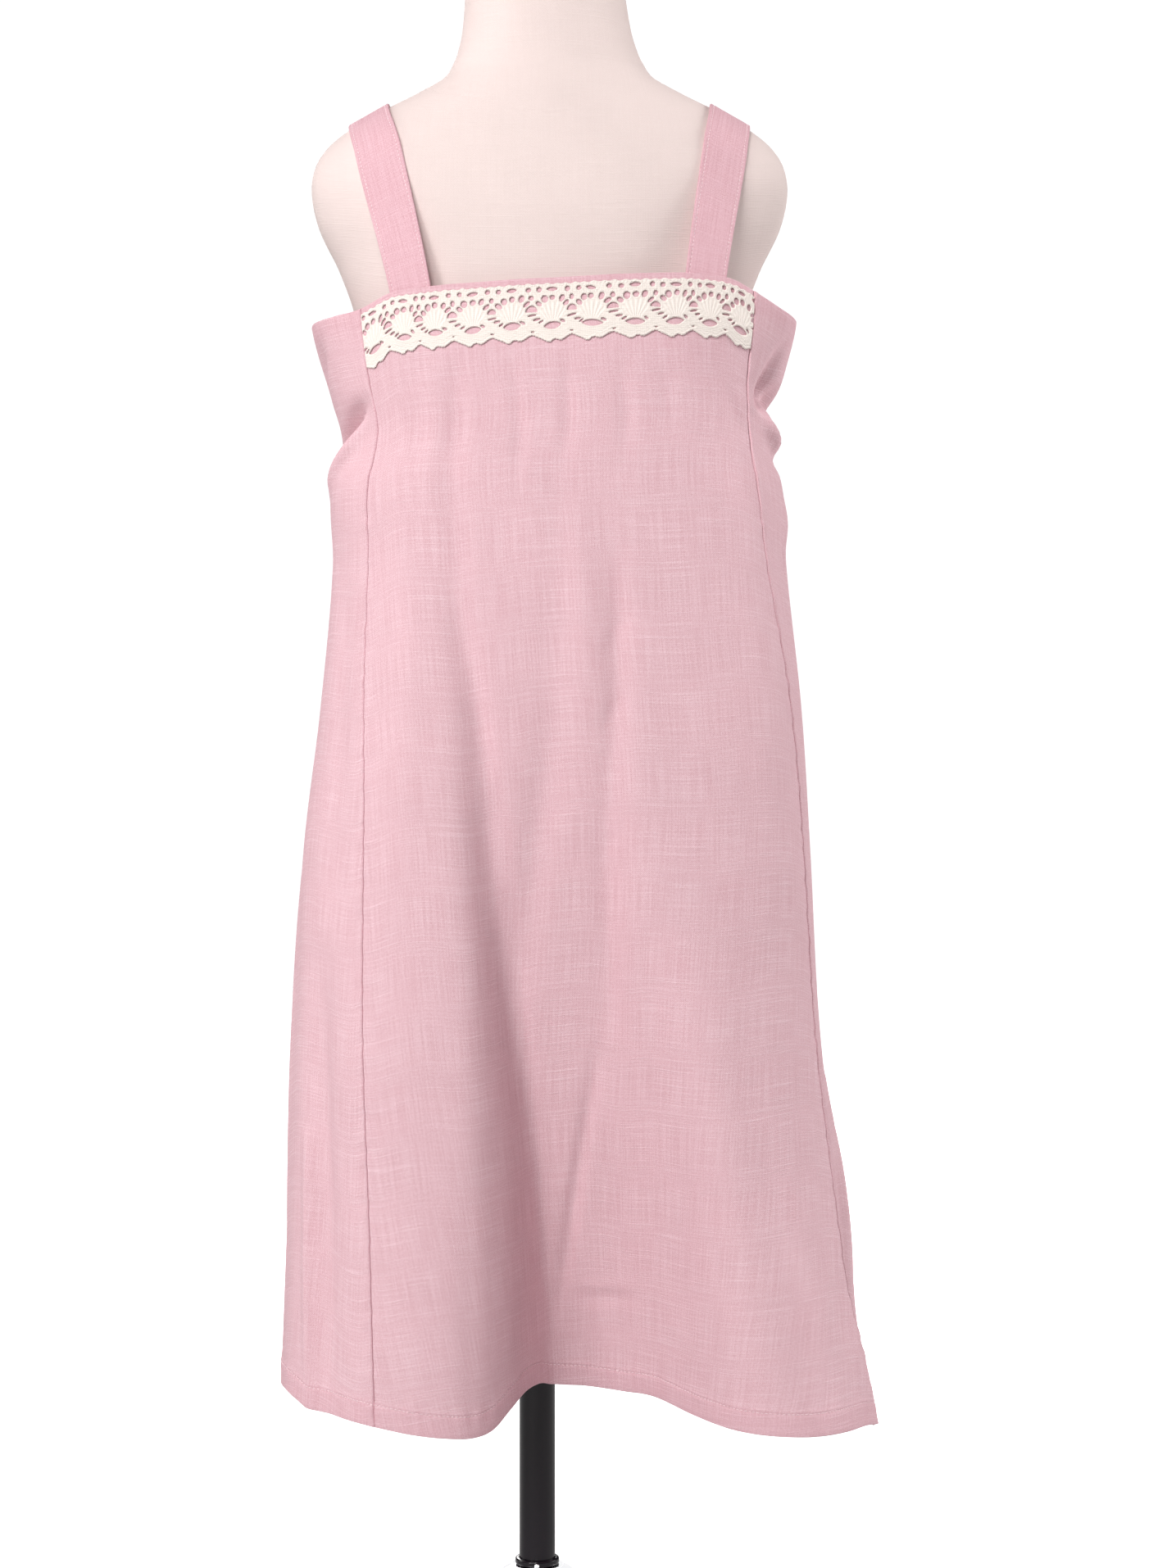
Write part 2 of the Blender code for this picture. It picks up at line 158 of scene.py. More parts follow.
camera_lens = bpy.data.cameras.new("camera")
camera_lens.sensor_width = 36
camera_lens.lens = 64.7
camera = bpy.data.objects.new("camera", camera_lens)
camera.location = (0.0288, -1.6, 0.478)
camera.rotation_euler = (math.radians(90), 0, 0)
bpy.context.scene.collection.objects.link(camera)
bpy.context.scene.camera = camera

# The stand: a flat turned steel plate, a domed chromed socket screwed on it, a black lacquered
# tube held in the socket by a clamp ring, and the ring's small chromed screw.

PLATE_RADIUS = 0.084
PLATE_THICKNESS = 0.009
HUB_RADIUS = 0.036
HUB_NECK_RADIUS = 0.0148
HUB_TOP = 0.0358
HUB_FULLNESS = 0.6
POLE_RADIUS = 0.0101
COLLAR_RADIUS = 0.0124
COLLAR_HEIGHT = 0.0034
FORM_BOTTOM = 0.492
GAP = 0.0003


def grid_faces(rows, columns):
    """The four corners' numbers of each face of a grid of points."""
    corner = np.arange(rows * columns).reshape(rows, columns)
    return np.stack([corner[:-1, :-1], corner[:-1, 1:], corner[1:, 1:], corner[1:, :-1]], -1)


def smooth_piece(name, points, faces, surface, crisp, threads=None):
    """A piece shaded smoothly, and crisply where its faces meet at more than some degrees. Its
    weave follows the places on the cloth given for each face's corners."""
    mesh = bpy.data.meshes.new(name)
    mesh.from_pydata(points.reshape(-1, 3).tolist(), [], faces)
    if threads is not None:
        layer = mesh.uv_layers.new(name="threads")
        layer.data.foreach_set("uv", threads.ravel().astype(np.float32))
    mesh.materials.append(surface)
    mesh.shade_smooth()
    mesh.set_sharp_from_angle(angle=math.radians(crisp))
    made = bpy.data.objects.new(name, mesh)
    bpy.context.scene.collection.objects.link(made)
    return made


def skin(name, grid, surface, ring=False, loop=False, caps=False, threads=None):
    """A piece over rows of points. Rows run upwards, and each runs rightwards seen from outside."""
    rows, columns = grid.shape[:2]
    up, across = rows + loop, columns + ring
    point = (np.arange(up)[:, None] % rows) * columns + np.arange(across)[None, :] % columns
    quads = grid_faces(up, across).reshape(-1, 4)
    faces = point.ravel()[quads].tolist()
    if threads is not None:
        threads = threads.reshape(-1, 2)[quads].reshape(-1, 2)
    if caps:
        faces += [list(range(columns))[::-1], list(range((rows - 1) * columns, rows * columns))]
        if threads is not None:
            threads = np.concatenate([threads, grid[0, ::-1, :2], grid[-1, :, :2]])
    return smooth_piece(name, grid, faces, surface, 42, threads)


def turned(name, profile, surface, segments=96, **ends):
    """A turned piece from (radius, height) pairs that run up its outside."""
    around = np.linspace(0, 2 * math.pi, segments, endpoint=False)
    profile = np.array(profile)
    radius, height = profile[:, :1], np.repeat(profile[:, 1:], segments, axis=1)
    grid = np.stack([radius * np.sin(around), -radius * np.cos(around), height], -1)
    return skin(name, grid, surface, ring=True, **ends)


def rounded(radius, height, corner, up, steps=5):
    """Points of a rounded rim corner, from the lower or inner end to the upper or outer one."""
    arc = np.linspace(0, math.pi / 2, steps + 1)
    short, long = corner * (1 - np.sin(arc)), corner * (1 - np.cos(arc))
    if up:
        return list(zip(radius - long, height - short))
    return list(zip(radius - short, height + long))


def bump(tree, strength, distance, height, **normal):
    values = {"Strength": strength, "Distance": distance, "Height": height, **normal}
    return wire(tree, "ShaderNodeBump", values).outputs[0]


steel, steel_tree, steel_shader = finish("turned_steel", Metallic=1.0, Anisotropic=0.4)
steel_place = wire(steel_tree, "ShaderNodeTexCoord").outputs["Object"]
steel_rings = wire(
    steel_tree,
    "ShaderNodeTexWave",
    {"Vector": steel_place, "Scale": 260.0, "Distortion": 0.6, "Detail": 2.0},
    wave_type="RINGS",
    rings_direction="Z",
).outputs["Fac"]
coat(
    steel_shader,
    Base_Color=blend(steel_tree, steel_rings, (0.56, 0.56, 0.58), (0.68, 0.68, 0.70)),
    Roughness=spread(steel_tree, noise(steel_tree, steel_place, 34.0), 0.3, 0.7, 0.16, 0.3),
    Normal=bump(steel_tree, 0.12, 0.0001, steel_rings),
)

chrome, chrome_tree, chrome_shader = finish("polished_chrome", Metallic=1.0, Roughness=0.0)
chrome_place = wire(chrome_tree, "ShaderNodeTexCoord").outputs["Object"]
chrome_film = noise(chrome_tree, chrome_place, 60.0, 3.0)
coat(chrome_shader, Base_Color=blend(chrome_tree, chrome_film, (0.80, 0.80, 0.82), (0.88, 0.88, 0.89)))

lacquer, lacquer_tree, lacquer_shader = finish("black_lacquer", Specular_IOR_Level=0.4)
lacquer_place = wire(lacquer_tree, "ShaderNodeTexCoord").outputs["Object"]
lacquer_long = wire(lacquer_tree, "ShaderNodeMapping", {"Vector": lacquer_place, "Scale": (1, 1, 0.12)})
lacquer_haze = noise(lacquer_tree, lacquer_long.outputs[0], 160.0)
coat(
    lacquer_shader,
    Base_Color=blend(lacquer_tree, lacquer_haze, (0.0080, 0.0054, 0.0090), (0.0120, 0.0084, 0.0132)),
    Roughness=spread(lacquer_tree, lacquer_haze, 0.3, 0.7, 0.2, 0.26),
    Normal=bump(lacquer_tree, 0.05, 0.0002, lacquer_haze),
)

RIM = 0.002
plate = turned(
    "base_plate",
    rounded(PLATE_RADIUS, 0, RIM, False) + rounded(PLATE_RADIUS, PLATE_THICKNESS, RIM, True),
    steel,
    caps=True,
)
hub_foot = PLATE_THICKNESS + GAP
hub_dome = [
    (
        HUB_NECK_RADIUS + (HUB_RADIUS - HUB_NECK_RADIUS) * (1 - t) ** HUB_FULLNESS,
        hub_foot + 0.0020 + (HUB_TOP - hub_foot - 0.0028) * t,
    )
    for t in 1 - np.linspace(1, 0.12, 24) ** 1.5
]
hub = turned(
    "pole_socket",
    rounded(HUB_RADIUS, hub_foot, 0.0006, False)
    + hub_dome
    + rounded(HUB_NECK_RADIUS, HUB_TOP, 0.0006, True)
    + [(POLE_RADIUS + GAP, HUB_TOP), (POLE_RADIUS + GAP, HUB_TOP - 0.012)],
    chrome,
    caps=True,
)
pole_foot = hub_foot + 0.004 + GAP
pole = turned(
    "stand_tube",
    rounded(POLE_RADIUS, pole_foot, 0.0005, False)
    + [(POLE_RADIUS, height) for height in np.linspace(0.03, FORM_BOTTOM - 0.01, 12)]
    + rounded(POLE_RADIUS, FORM_BOTTOM - GAP, 0.0005, True),
    lacquer,
    caps=True,
)
ring_foot = HUB_TOP + GAP
ring_top = ring_foot + COLLAR_HEIGHT
clamp_ring = turned(
    "clamp_ring",
    [(POLE_RADIUS + GAP, ring_foot)]
    + rounded(COLLAR_RADIUS, ring_foot, 0.0006, False)
    + rounded(COLLAR_RADIUS, ring_top, 0.0010, True)
    + [(POLE_RADIUS + GAP, ring_top)],
    lacquer,
    loop=True,
)
SCREW_RADIUS = 0.0014
screw_head = turned(
    "clamp_screw",
    rounded(SCREW_RADIUS, 0, 0.0002, False)
    + rounded(SCREW_RADIUS, 0.0028, 0.0005, True)
    + [(0.0010, 0.0028), (0.0009, 0.0018)],
    chrome,
    segments=36,
    caps=True,
)
for vertex in screw_head.data.vertices:
    x, y, z = vertex.co
    vertex.co = (x, -COLLAR_RADIUS - GAP - z, (ring_foot + ring_top) / 2 + y)
for piece, node, finish_slot in (
    (plate, "stand_plate", "bright_steel"),
    (hub, "stand_hub", "bright_steel"),
    (pole, "stand_pole", "black_lacquer"),
    (clamp_ring, "stand_collar", "black_lacquer"),
    (screw_head, "collar_screw", "bright_steel"),
):
    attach(piece, "root")
    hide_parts(node)

# The dress form: a hard child's torso with a capped neck, covered in tightly drawn natural
# linen. The neck's own cover meets the torso's in a fine sewn seam round its foot.

FORM_CENTRE_X = 0.007
FORM_TOP = 0.945
NECK_FOOT = 0.870
NECK_LEAN = 0.045

# height, half width, depth at the front, depth at the back, squareness (2 is an ellipse)
FORM_SECTIONS = (
    (0.9450, 0.0440, 0.0448, 0.0448, 2.00),
    (0.9230, 0.0456, 0.0460, 0.0458, 2.00),
    (0.9045, 0.0479, 0.0474, 0.0468, 2.00),
    (0.8950, 0.0502, 0.0484, 0.0474, 2.00),
    (0.8860, 0.0537, 0.0498, 0.0481, 1.96),
    (0.8760, 0.0610, 0.0520, 0.0490, 1.85),
    (0.8670, 0.0780, 0.0560, 0.0510, 1.68),
    (0.8585, 0.0960, 0.0590, 0.0535, 1.62),
    (0.8490, 0.1125, 0.0615, 0.0560, 1.66),
    (0.8390, 0.1250, 0.0640, 0.0590, 1.78),
    (0.8280, 0.1325, 0.0665, 0.0620, 1.90),
    (0.8130, 0.1350, 0.0695, 0.0655, 2.00),
    (0.7920, 0.1305, 0.0730, 0.0700, 2.00),
    (0.7680, 0.1190, 0.0740, 0.0720, 2.10),
    (0.7400, 0.1095, 0.0750, 0.0725, 2.20),
    (0.7000, 0.1040, 0.0760, 0.0720, 2.25),
    (0.6500, 0.1010, 0.0780, 0.0700, 2.25),
    (0.6000, 0.1010, 0.0795, 0.0680, 2.25),
    (0.5500, 0.1050, 0.0785, 0.0690, 2.25),
    (0.5150, 0.1060, 0.0760, 0.0700, 2.25),
    (0.5000, 0.1030, 0.0735, 0.0680, 2.25),
    (0.4920, 0.0960, 0.0670, 0.0620, 2.20),
)

# turn from the centre front in degrees, height of the neck seam
NECK_SEAM = (
    (-180, 0.8850),
    (-90, 0.8715),
    (-35, 0.8545),
    (3, 0.8440),
    (50, 0.8645),
    (90, 0.8745),
    (180, 0.8850),
)


def between(rows, keys):
    """All columns of a table at keys between its rows, on smooth curves through them."""
    table = np.array(rows, float)
    if table[0, 0] > table[-1, 0]:
        table = table[::-1]
    place, values = table[:, 0], table[:, 1:]
    keys = np.asarray(keys, float)
    flat = keys.ravel()
    low = np.clip(np.searchsorted(place, flat, side="right") - 1, 0, len(place) - 2)
    before, after = np.maximum(low - 1, 0), np.minimum(low + 2, len(place) - 1)
    span = (place[low + 1] - place[low])[:, None]
    t = np.clip((flat - place[low])[:, None] / span, 0, 1)
    slope_in = (values[low + 1] - values[before]) / (place[low + 1] - place[before])[:, None] * span
    slope_out = (values[after] - values[low]) / (place[after] - place[low])[:, None] * span
    found = (
        (2 * t**3 - 3 * t**2 + 1) * values[low]
        + (t**3 - 2 * t**2 + t) * slope_in
        + (3 * t**2 - 2 * t**3) * values[low + 1]
        + (t**3 - t**2) * slope_out
    )
    return [found[:, k].reshape(keys.shape) for k in range(found.shape[1])]


def rounded_section(turn, half_width, front, back, squareness):
    """Points on rounded sections and their level outward normals, about the sections' centres."""
    side, ahead = np.sin(np.radians(turn)), np.cos(np.radians(turn))
    depth = np.where(ahead > 0, front, back)
    reach = abs(side / half_width) ** squareness + abs(ahead / depth) ** squareness
    radius = reach ** (-1 / squareness)
    across, along = radius * side, -radius * ahead
    out_x = np.sign(side) * abs(across / half_width) ** (squareness - 1) / half_width
    out_y = -np.sign(ahead) * abs(along / depth) ** (squareness - 1) / depth
    size = np.hypot(out_x, out_y)
    return across, along, out_x / size, out_y / size


def grid_normals(grid):
    """The direction straight out of a grid of points at each of them."""
    normal = np.cross(np.gradient(grid, axis=1), np.gradient(grid, axis=0))
    return normal / np.maximum(np.linalg.norm(normal, axis=2, keepdims=True), 1e-12)


def run_along(lines):
    """The length along each line of points, from its first point to each."""
    steps = np.diff(lines, axis=-2, prepend=lines[..., :1, :])
    return np.cumsum(np.linalg.norm(steps, axis=-1), axis=-1)


def thread_lengths(grid, middle=0.5):
    """Lengths along the cloth in metres: across from a middle column, and down from the top."""
    across = run_along(grid)
    across -= across[:, int(across.shape[1] * middle), None]
    steps = np.linalg.norm(np.diff(grid, axis=0), axis=2)
    down = np.append(np.cumsum(steps.mean(axis=1)[::-1])[::-1], 0)
    column = steps.sum(axis=0) / steps.sum(axis=0).mean()
    return np.stack([across, -down[:, None] * column[None, :]], -1)


FORM_COLUMNS = 132
RIM_ROUND = 0.003
SEAM_LOWEST = 0.836
SEAM_HIGHEST = 0.892
torso_rows = np.arange(FORM_BOTTOM, SEAM_LOWEST, 0.004)
seam_rows = np.arange(SEAM_LOWEST, SEAM_HIGHEST, 0.0006)
neck_rows = np.arange(SEAM_HIGHEST, FORM_TOP - 0.0001, 0.0035)
form_heights = np.sort(np.concatenate([seam_rows, torso_rows, neck_rows, [FORM_TOP]]))
form_turns = np.linspace(-180, 180, FORM_COLUMNS + 1)
turn_grid, height_grid = np.meshgrid(form_turns, form_heights)
across, along, out_x, out_y = rounded_section(turn_grid, *between(FORM_SECTIONS, height_grid))
centre = FORM_CENTRE_X - NECK_LEAN * np.maximum(height_grid - NECK_FOOT, 0)
form_grid = np.stack([centre + across, along, height_grid], -1)
rim = np.maximum(1 - (FORM_TOP - height_grid) / RIM_ROUND, 0)
foot = np.maximum(1 - (height_grid - FORM_BOTTOM) / RIM_ROUND, 0)
shrink = RIM_ROUND * (1 - np.sqrt(1 - np.maximum(rim, foot) ** 2))
form_out = grid_normals(form_grid)
stretch = np.linalg.norm(np.gradient(form_grid, axis=0), axis=2) / np.gradient(form_heights)[:, None]
apart = (height_grid - between(NECK_SEAM, turn_grid)[0]) * stretch
groove = -0.00030 * np.exp(-((apart / 0.0006) ** 2))
lips = 0.00014 * np.exp(-(((abs(apart) - 0.0016) / 0.0011) ** 2))
form_grid += form_out * (groove + lips)[..., None]
form_grid[..., 0] -= out_x * shrink
form_grid[..., 1] -= out_y * shrink
form_threads = thread_lengths(form_grid)


def calculator(tree):
    """A short way to add math nodes to a tree."""

    def calc(operation, first, second=0.0, third=0.0, clamp=False):
        values = {0: first, 1: second, 2: third}
        return wire(tree, "ShaderNodeMath", values, operation=operation, use_clamp=clamp).outputs[0]

    return calc


def group_inputs(tree, *sockets):
    """Adds a group's named inputs, each with its kind and its value, and returns them inside it."""
    for name, kind, value in sockets:
        socket = tree.interface.new_socket(name, in_out="INPUT", socket_type="NodeSocket" + kind)
        if value is not None:
            socket.default_value = value
    return wire(tree, "NodeGroupInput").outputs


def woven_cloth():
    """A shader group: plain weave with thick slub places in its weft and uneven warp threads."""
    tree = bpy.data.node_groups.new("woven_cloth", "ShaderNodeTree")
    given = group_inputs(
        tree,
        ("Threads", "Vector", None),
        ("Pitch", "Float", 0.0006),
        ("Weave", "Float", 0.3),
        ("Slubs", "Float", 0.5),
        ("Streaks", "Float", 0.3),
        ("Grain", "Float", 0.2),
    )
    for name in ("Light threads", "Height"):
        tree.interface.new_socket(name, in_out="OUTPUT", socket_type="NodeSocketFloat")
    calc = calculator(tree)

    def long_noise(scale, detail, low, high):
        stretched = wire(tree, "ShaderNodeMapping", {"Vector": given["Threads"], "Scale": scale})
        values = {"Vector": stretched.outputs[0], "Scale": 1.0, "Detail": detail}
        uneven = wire(tree, "ShaderNodeTexNoise", values, noise_dimensions="2D").outputs["Fac"]
        return spread(tree, uneven, low, high)

    apart = wire(tree, "ShaderNodeSeparateXYZ", {0: given["Threads"]}).outputs
    warp = calc("SINE", calc("DIVIDE", calc("MULTIPLY", apart[0], math.pi), given["Pitch"]))
    weft = calc("SINE", calc("DIVIDE", calc("MULTIPLY", apart[1], math.pi), given["Pitch"]))
    over = calc("MULTIPLY", warp, weft)
    fine_slub = long_noise((45, 2100, 1), 0.0, 0.54, 0.70)
    long_slub = long_noise((16, 1600, 1), 0.0, 0.62, 0.72)
    warp_streak = long_noise((1600, 30, 1), 0.0, 0.3, 0.7)
    grain = long_noise((1300, 1300, 1), 1.0, 0.3, 0.7)
    slubs = calc("MULTIPLY_ADD", long_slub, 0.9, calc("MULTIPLY", fine_slub, 0.8))
    light = calc("MULTIPLY_ADD", over, calc("MULTIPLY", given["Weave"], 0.5), 0.4)
    light = calc("MULTIPLY_ADD", slubs, given["Slubs"], light)
    uneven = calc("SUBTRACT", warp_streak, 0.5)
    light = calc("MULTIPLY_ADD", uneven, given["Streaks"], light)
    uneven = calc("SUBTRACT", grain, 0.5)
    light = calc("MULTIPLY_ADD", uneven, given["Grain"], light, clamp=True)
    crown = calc("MULTIPLY", calc("ABSOLUTE", warp), calc("ABSOLUTE", weft))
    height = calc("MULTIPLY_ADD", slubs, 0.7, calc("MULTIPLY", crown, 0.5))
    height = calc("MULTIPLY_ADD", warp_streak, 0.25, height)
    wire(tree, "NodeGroupOutput", {"Light threads": light, "Height": height})
    return tree


WOVEN = woven_cloth()


def cloth_finish(name, deep, pale, weave, relief, crumpled, cloud, doubled=None, **values):
    """A woven cloth's material: two thread colours laid by the weave, a slow unevenness, and a
    deeper tint where the cloth lies double."""
    made, tree, shader = finish(name, **values)
    threads = wire(tree, "ShaderNodeUVMap", uv_map="threads").outputs[0]
    woven = wire(tree, "ShaderNodeGroup", {"Threads": threads}, node_tree=WOVEN)
    for socket, value in weave.items():
        woven.inputs[socket].default_value = value
    tone = blend(tree, woven.outputs["Light threads"], deep, pale)
    clouded = spread(tree, noise(tree, threads, 26.0, 3.0), 0.3, 0.7, 1 - cloud, 1.0)
    colour = wire(tree, "ShaderNodeVectorMath", {0: tone, 1: clouded}, operation="MULTIPLY").outputs[0]
    if doubled is not None:
        layers = wire(tree, "ShaderNodeAttribute", attribute_name="doubled").outputs["Fac"]
        tinted = {0: colour, 1: blend(tree, layers, (1, 1, 1), doubled)}
        colour = wire(tree, "ShaderNodeVectorMath", tinted, operation="MULTIPLY").outputs[0]
    rumpled = bump(tree, crumpled, 0.0015, noise(tree, threads, 55.0, 2.0, 0.6))
    raised = bump(tree, relief, 0.0002, woven.outputs["Height"], Normal=rumpled)
    coat(shader, Base_Color=colour, Normal=raised)
    return made


form_linen = cloth_finish(
    "natural_form_linen",
    (0.75, 0.62, 0.59),
    (0.85, 0.73, 0.71),
    {"Pitch": 0.0007, "Weave": 0.3, "Slubs": 0.08, "Streaks": 0.10, "Grain": 0.25},
    relief=0.35,
    crumpled=0.05,
    cloud=0.03,
    Roughness=0.85,
    Specular_IOR_Level=0.25,
    Sheen_Weight=0.05,
)
form = skin("form_cover", form_grid[:, :-1], form_linen, ring=True, caps=True, threads=form_threads)
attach(form, "root")
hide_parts("form_body")

# The front panel: one A-shaped piece of pink slub linen from the bib to the hem. Its edges are
# turned in at the top, pressed back at the side seams, and turned up and stitched at the hem.

CLOTH = 0.00045
SEAM_ALLOWANCE = 0.009
SEAM_ROLL = 0.0011
SEAM_LEDGE = {"front": 0, "right": 0.0008, "back": 0, "left": 0.0004}
TOP_TURNING = 0.010
HEM_TURNING = 0.0135
EDGE_ROLL = 0.0005
SEAM_PARTING = 0.00004
HEM_STITCH_RISE = 0.0118
TOP_LEVEL = 0.745
HEM_LEVEL = 0.130
HEM_RADIUS = 0.16
CREASE_RADIUS = 0.12

# how far rows of points lie over the hem's fold, closest beside its stitches
HEM_ROWS = (
    (0.003, 0.0055, 0.008, 0.0095, 0.0105, 0.0113, 0.0118)
    + (0.0123, 0.0129, 0.0134, 0.0139, 0.0150, 0.0170, 0.0200)
)

# height, left edge, right edge, depth at the front, depth at the back, squareness
CLOTH_SECTIONS = (
    (0.7600, -0.1285, 0.1475, 0.0860, 0.0800, 2.6),
    (0.7350, -0.1272, 0.1462, 0.0860, 0.0810, 2.6),
    (0.7000, -0.1180, 0.1378, 0.0870, 0.0830, 2.5),
    (0.6700, -0.1100, 0.1355, 0.0885, 0.0850, 2.4),
    (0.6400, -0.1165, 0.1390, 0.0900, 0.0870, 2.4),
    (0.6000, -0.1155, 0.1410, 0.0925, 0.0890, 2.3),
    (0.5200, -0.1225, 0.1495, 0.0970, 0.0930, 2.3),
    (0.4400, -0.1320, 0.1545, 0.1000, 0.0970, 2.3),
    (0.3400, -0.1370, 0.1600, 0.1020, 0.1000, 2.3),
    (0.2400, -0.1410, 0.1730, 0.1030, 0.1030, 2.2),
    (0.1200, -0.1455, 0.1885, 0.1030, 0.1070, 2.2),
)

# turn, height of the top edge, height of the hem
EDGES = (
    (-180, 0.7480, 0.1390),
    (-140, 0.7460, 0.1410),
    (-110, 0.7400, 0.1390),
    (-90, 0.7350, 0.1400),
    (-80, 0.7348, 0.1425),
    (-75, 0.7346, 0.1434),
    (-70, 0.7345, 0.1410),
    (-66, 0.7348, 0.1378),
    (-58, 0.7365, 0.1370),
    (-49, 0.7445, 0.1352),
    (-42, 0.7460, 0.1330),
    (-34, 0.7472, 0.1308),
    (-28, 0.7477, 0.1294),
    (-24, 0.7481, 0.1312),
    (-20, 0.7485, 0.1385),
    (-16, 0.7490, 0.1445),
    (-12, 0.7494, 0.1448),
    (-8, 0.7497, 0.1418),
    (4, 0.7505, 0.1406),
    (20, 0.7521, 0.1380),
    (30, 0.7530, 0.1380),
    (38, 0.7537, 0.1340),
    (44, 0.7541, 0.1314),
    (54, 0.7525, 0.1305),
    (62, 0.7455, 0.1303),
    (70, 0.7400, 0.1285),
    (80, 0.7380, 0.1230),
    (94, 0.7388, 0.1205),
    (110, 0.7400, 0.1245),
    (140, 0.7460, 0.1350),
    (180, 0.7480, 0.1390),
)

# height, then the turn of each seam: left front, right front, right back, left back
SEAMS = (
    (0.7600, -57.4, 60.0, 122.0, -122.0),
    (0.6700, -58.5, 61.8, 122.0, -122.0),
    (0.6000, -59.7, 64.4, 122.0, -123.0),
    (0.5300, -58.0, 69.4, 122.0, -124.0),
    (0.4500, -53.5, 74.0, 123.0, -125.0),
    (0.3300, -51.1, 76.8, 124.0, -127.0),
    (0.1200, -49.3, 77.4, 125.0, -129.0),
)

# the great folds: height where each starts, how it grows (1 evenly, 2 ever faster), turn there,
# turn at the hem, reach to its left and right in degrees at the hem, fullness to its left and
# right (2 is a bell), how far the cloth stands out (or in, below zero) at the hem
FOLDS = (
    (0.68, 1.6, -50.7, -44.7, 19.0, 20.0, 2.4, 2.2, 0.0150),
    (0.66, 1.634, -49.2, -6.0, 14.65, 50.0, 2.08, 4.2, -0.0860),
    (0.42, 1.8, 40.0, 50.0, 15.0, 22.0, 2.6, 2.6, 0.0340),
    (0.55, 2.0, -74.0, -70.0, 9.0, 9.0, 2.6, 2.6, 0.0050),
    (0.36, 2.0, 84.0, 85.0, 7.0, 7.0, 2.6, 2.6, -0.0110),
    (0.4, 2.0, 101.0, 99.0, 11.0, 14.0, 2.6, 2.6, 0.0030),
    (0.62, 2.0, 150.0, 152.0, 15.0, 13.0, 2.6, 2.6, -0.0340),
    (0.6, 2.0, 133.0, 131.0, 10.0, 10.0, 2.6, 2.6, 0.0110),
    (0.6, 2.0, 176.0, -179.0, 13.0, 13.0, 2.6, 2.6, 0.0110),
    (0.64, 2.0, -156.0, -151.0, 13.0, 16.0, 2.6, 2.6, -0.0300),
    (0.5, 2.0, -112.0, -110.0, 11.0, 9.0, 2.6, 2.6, -0.0150),
)

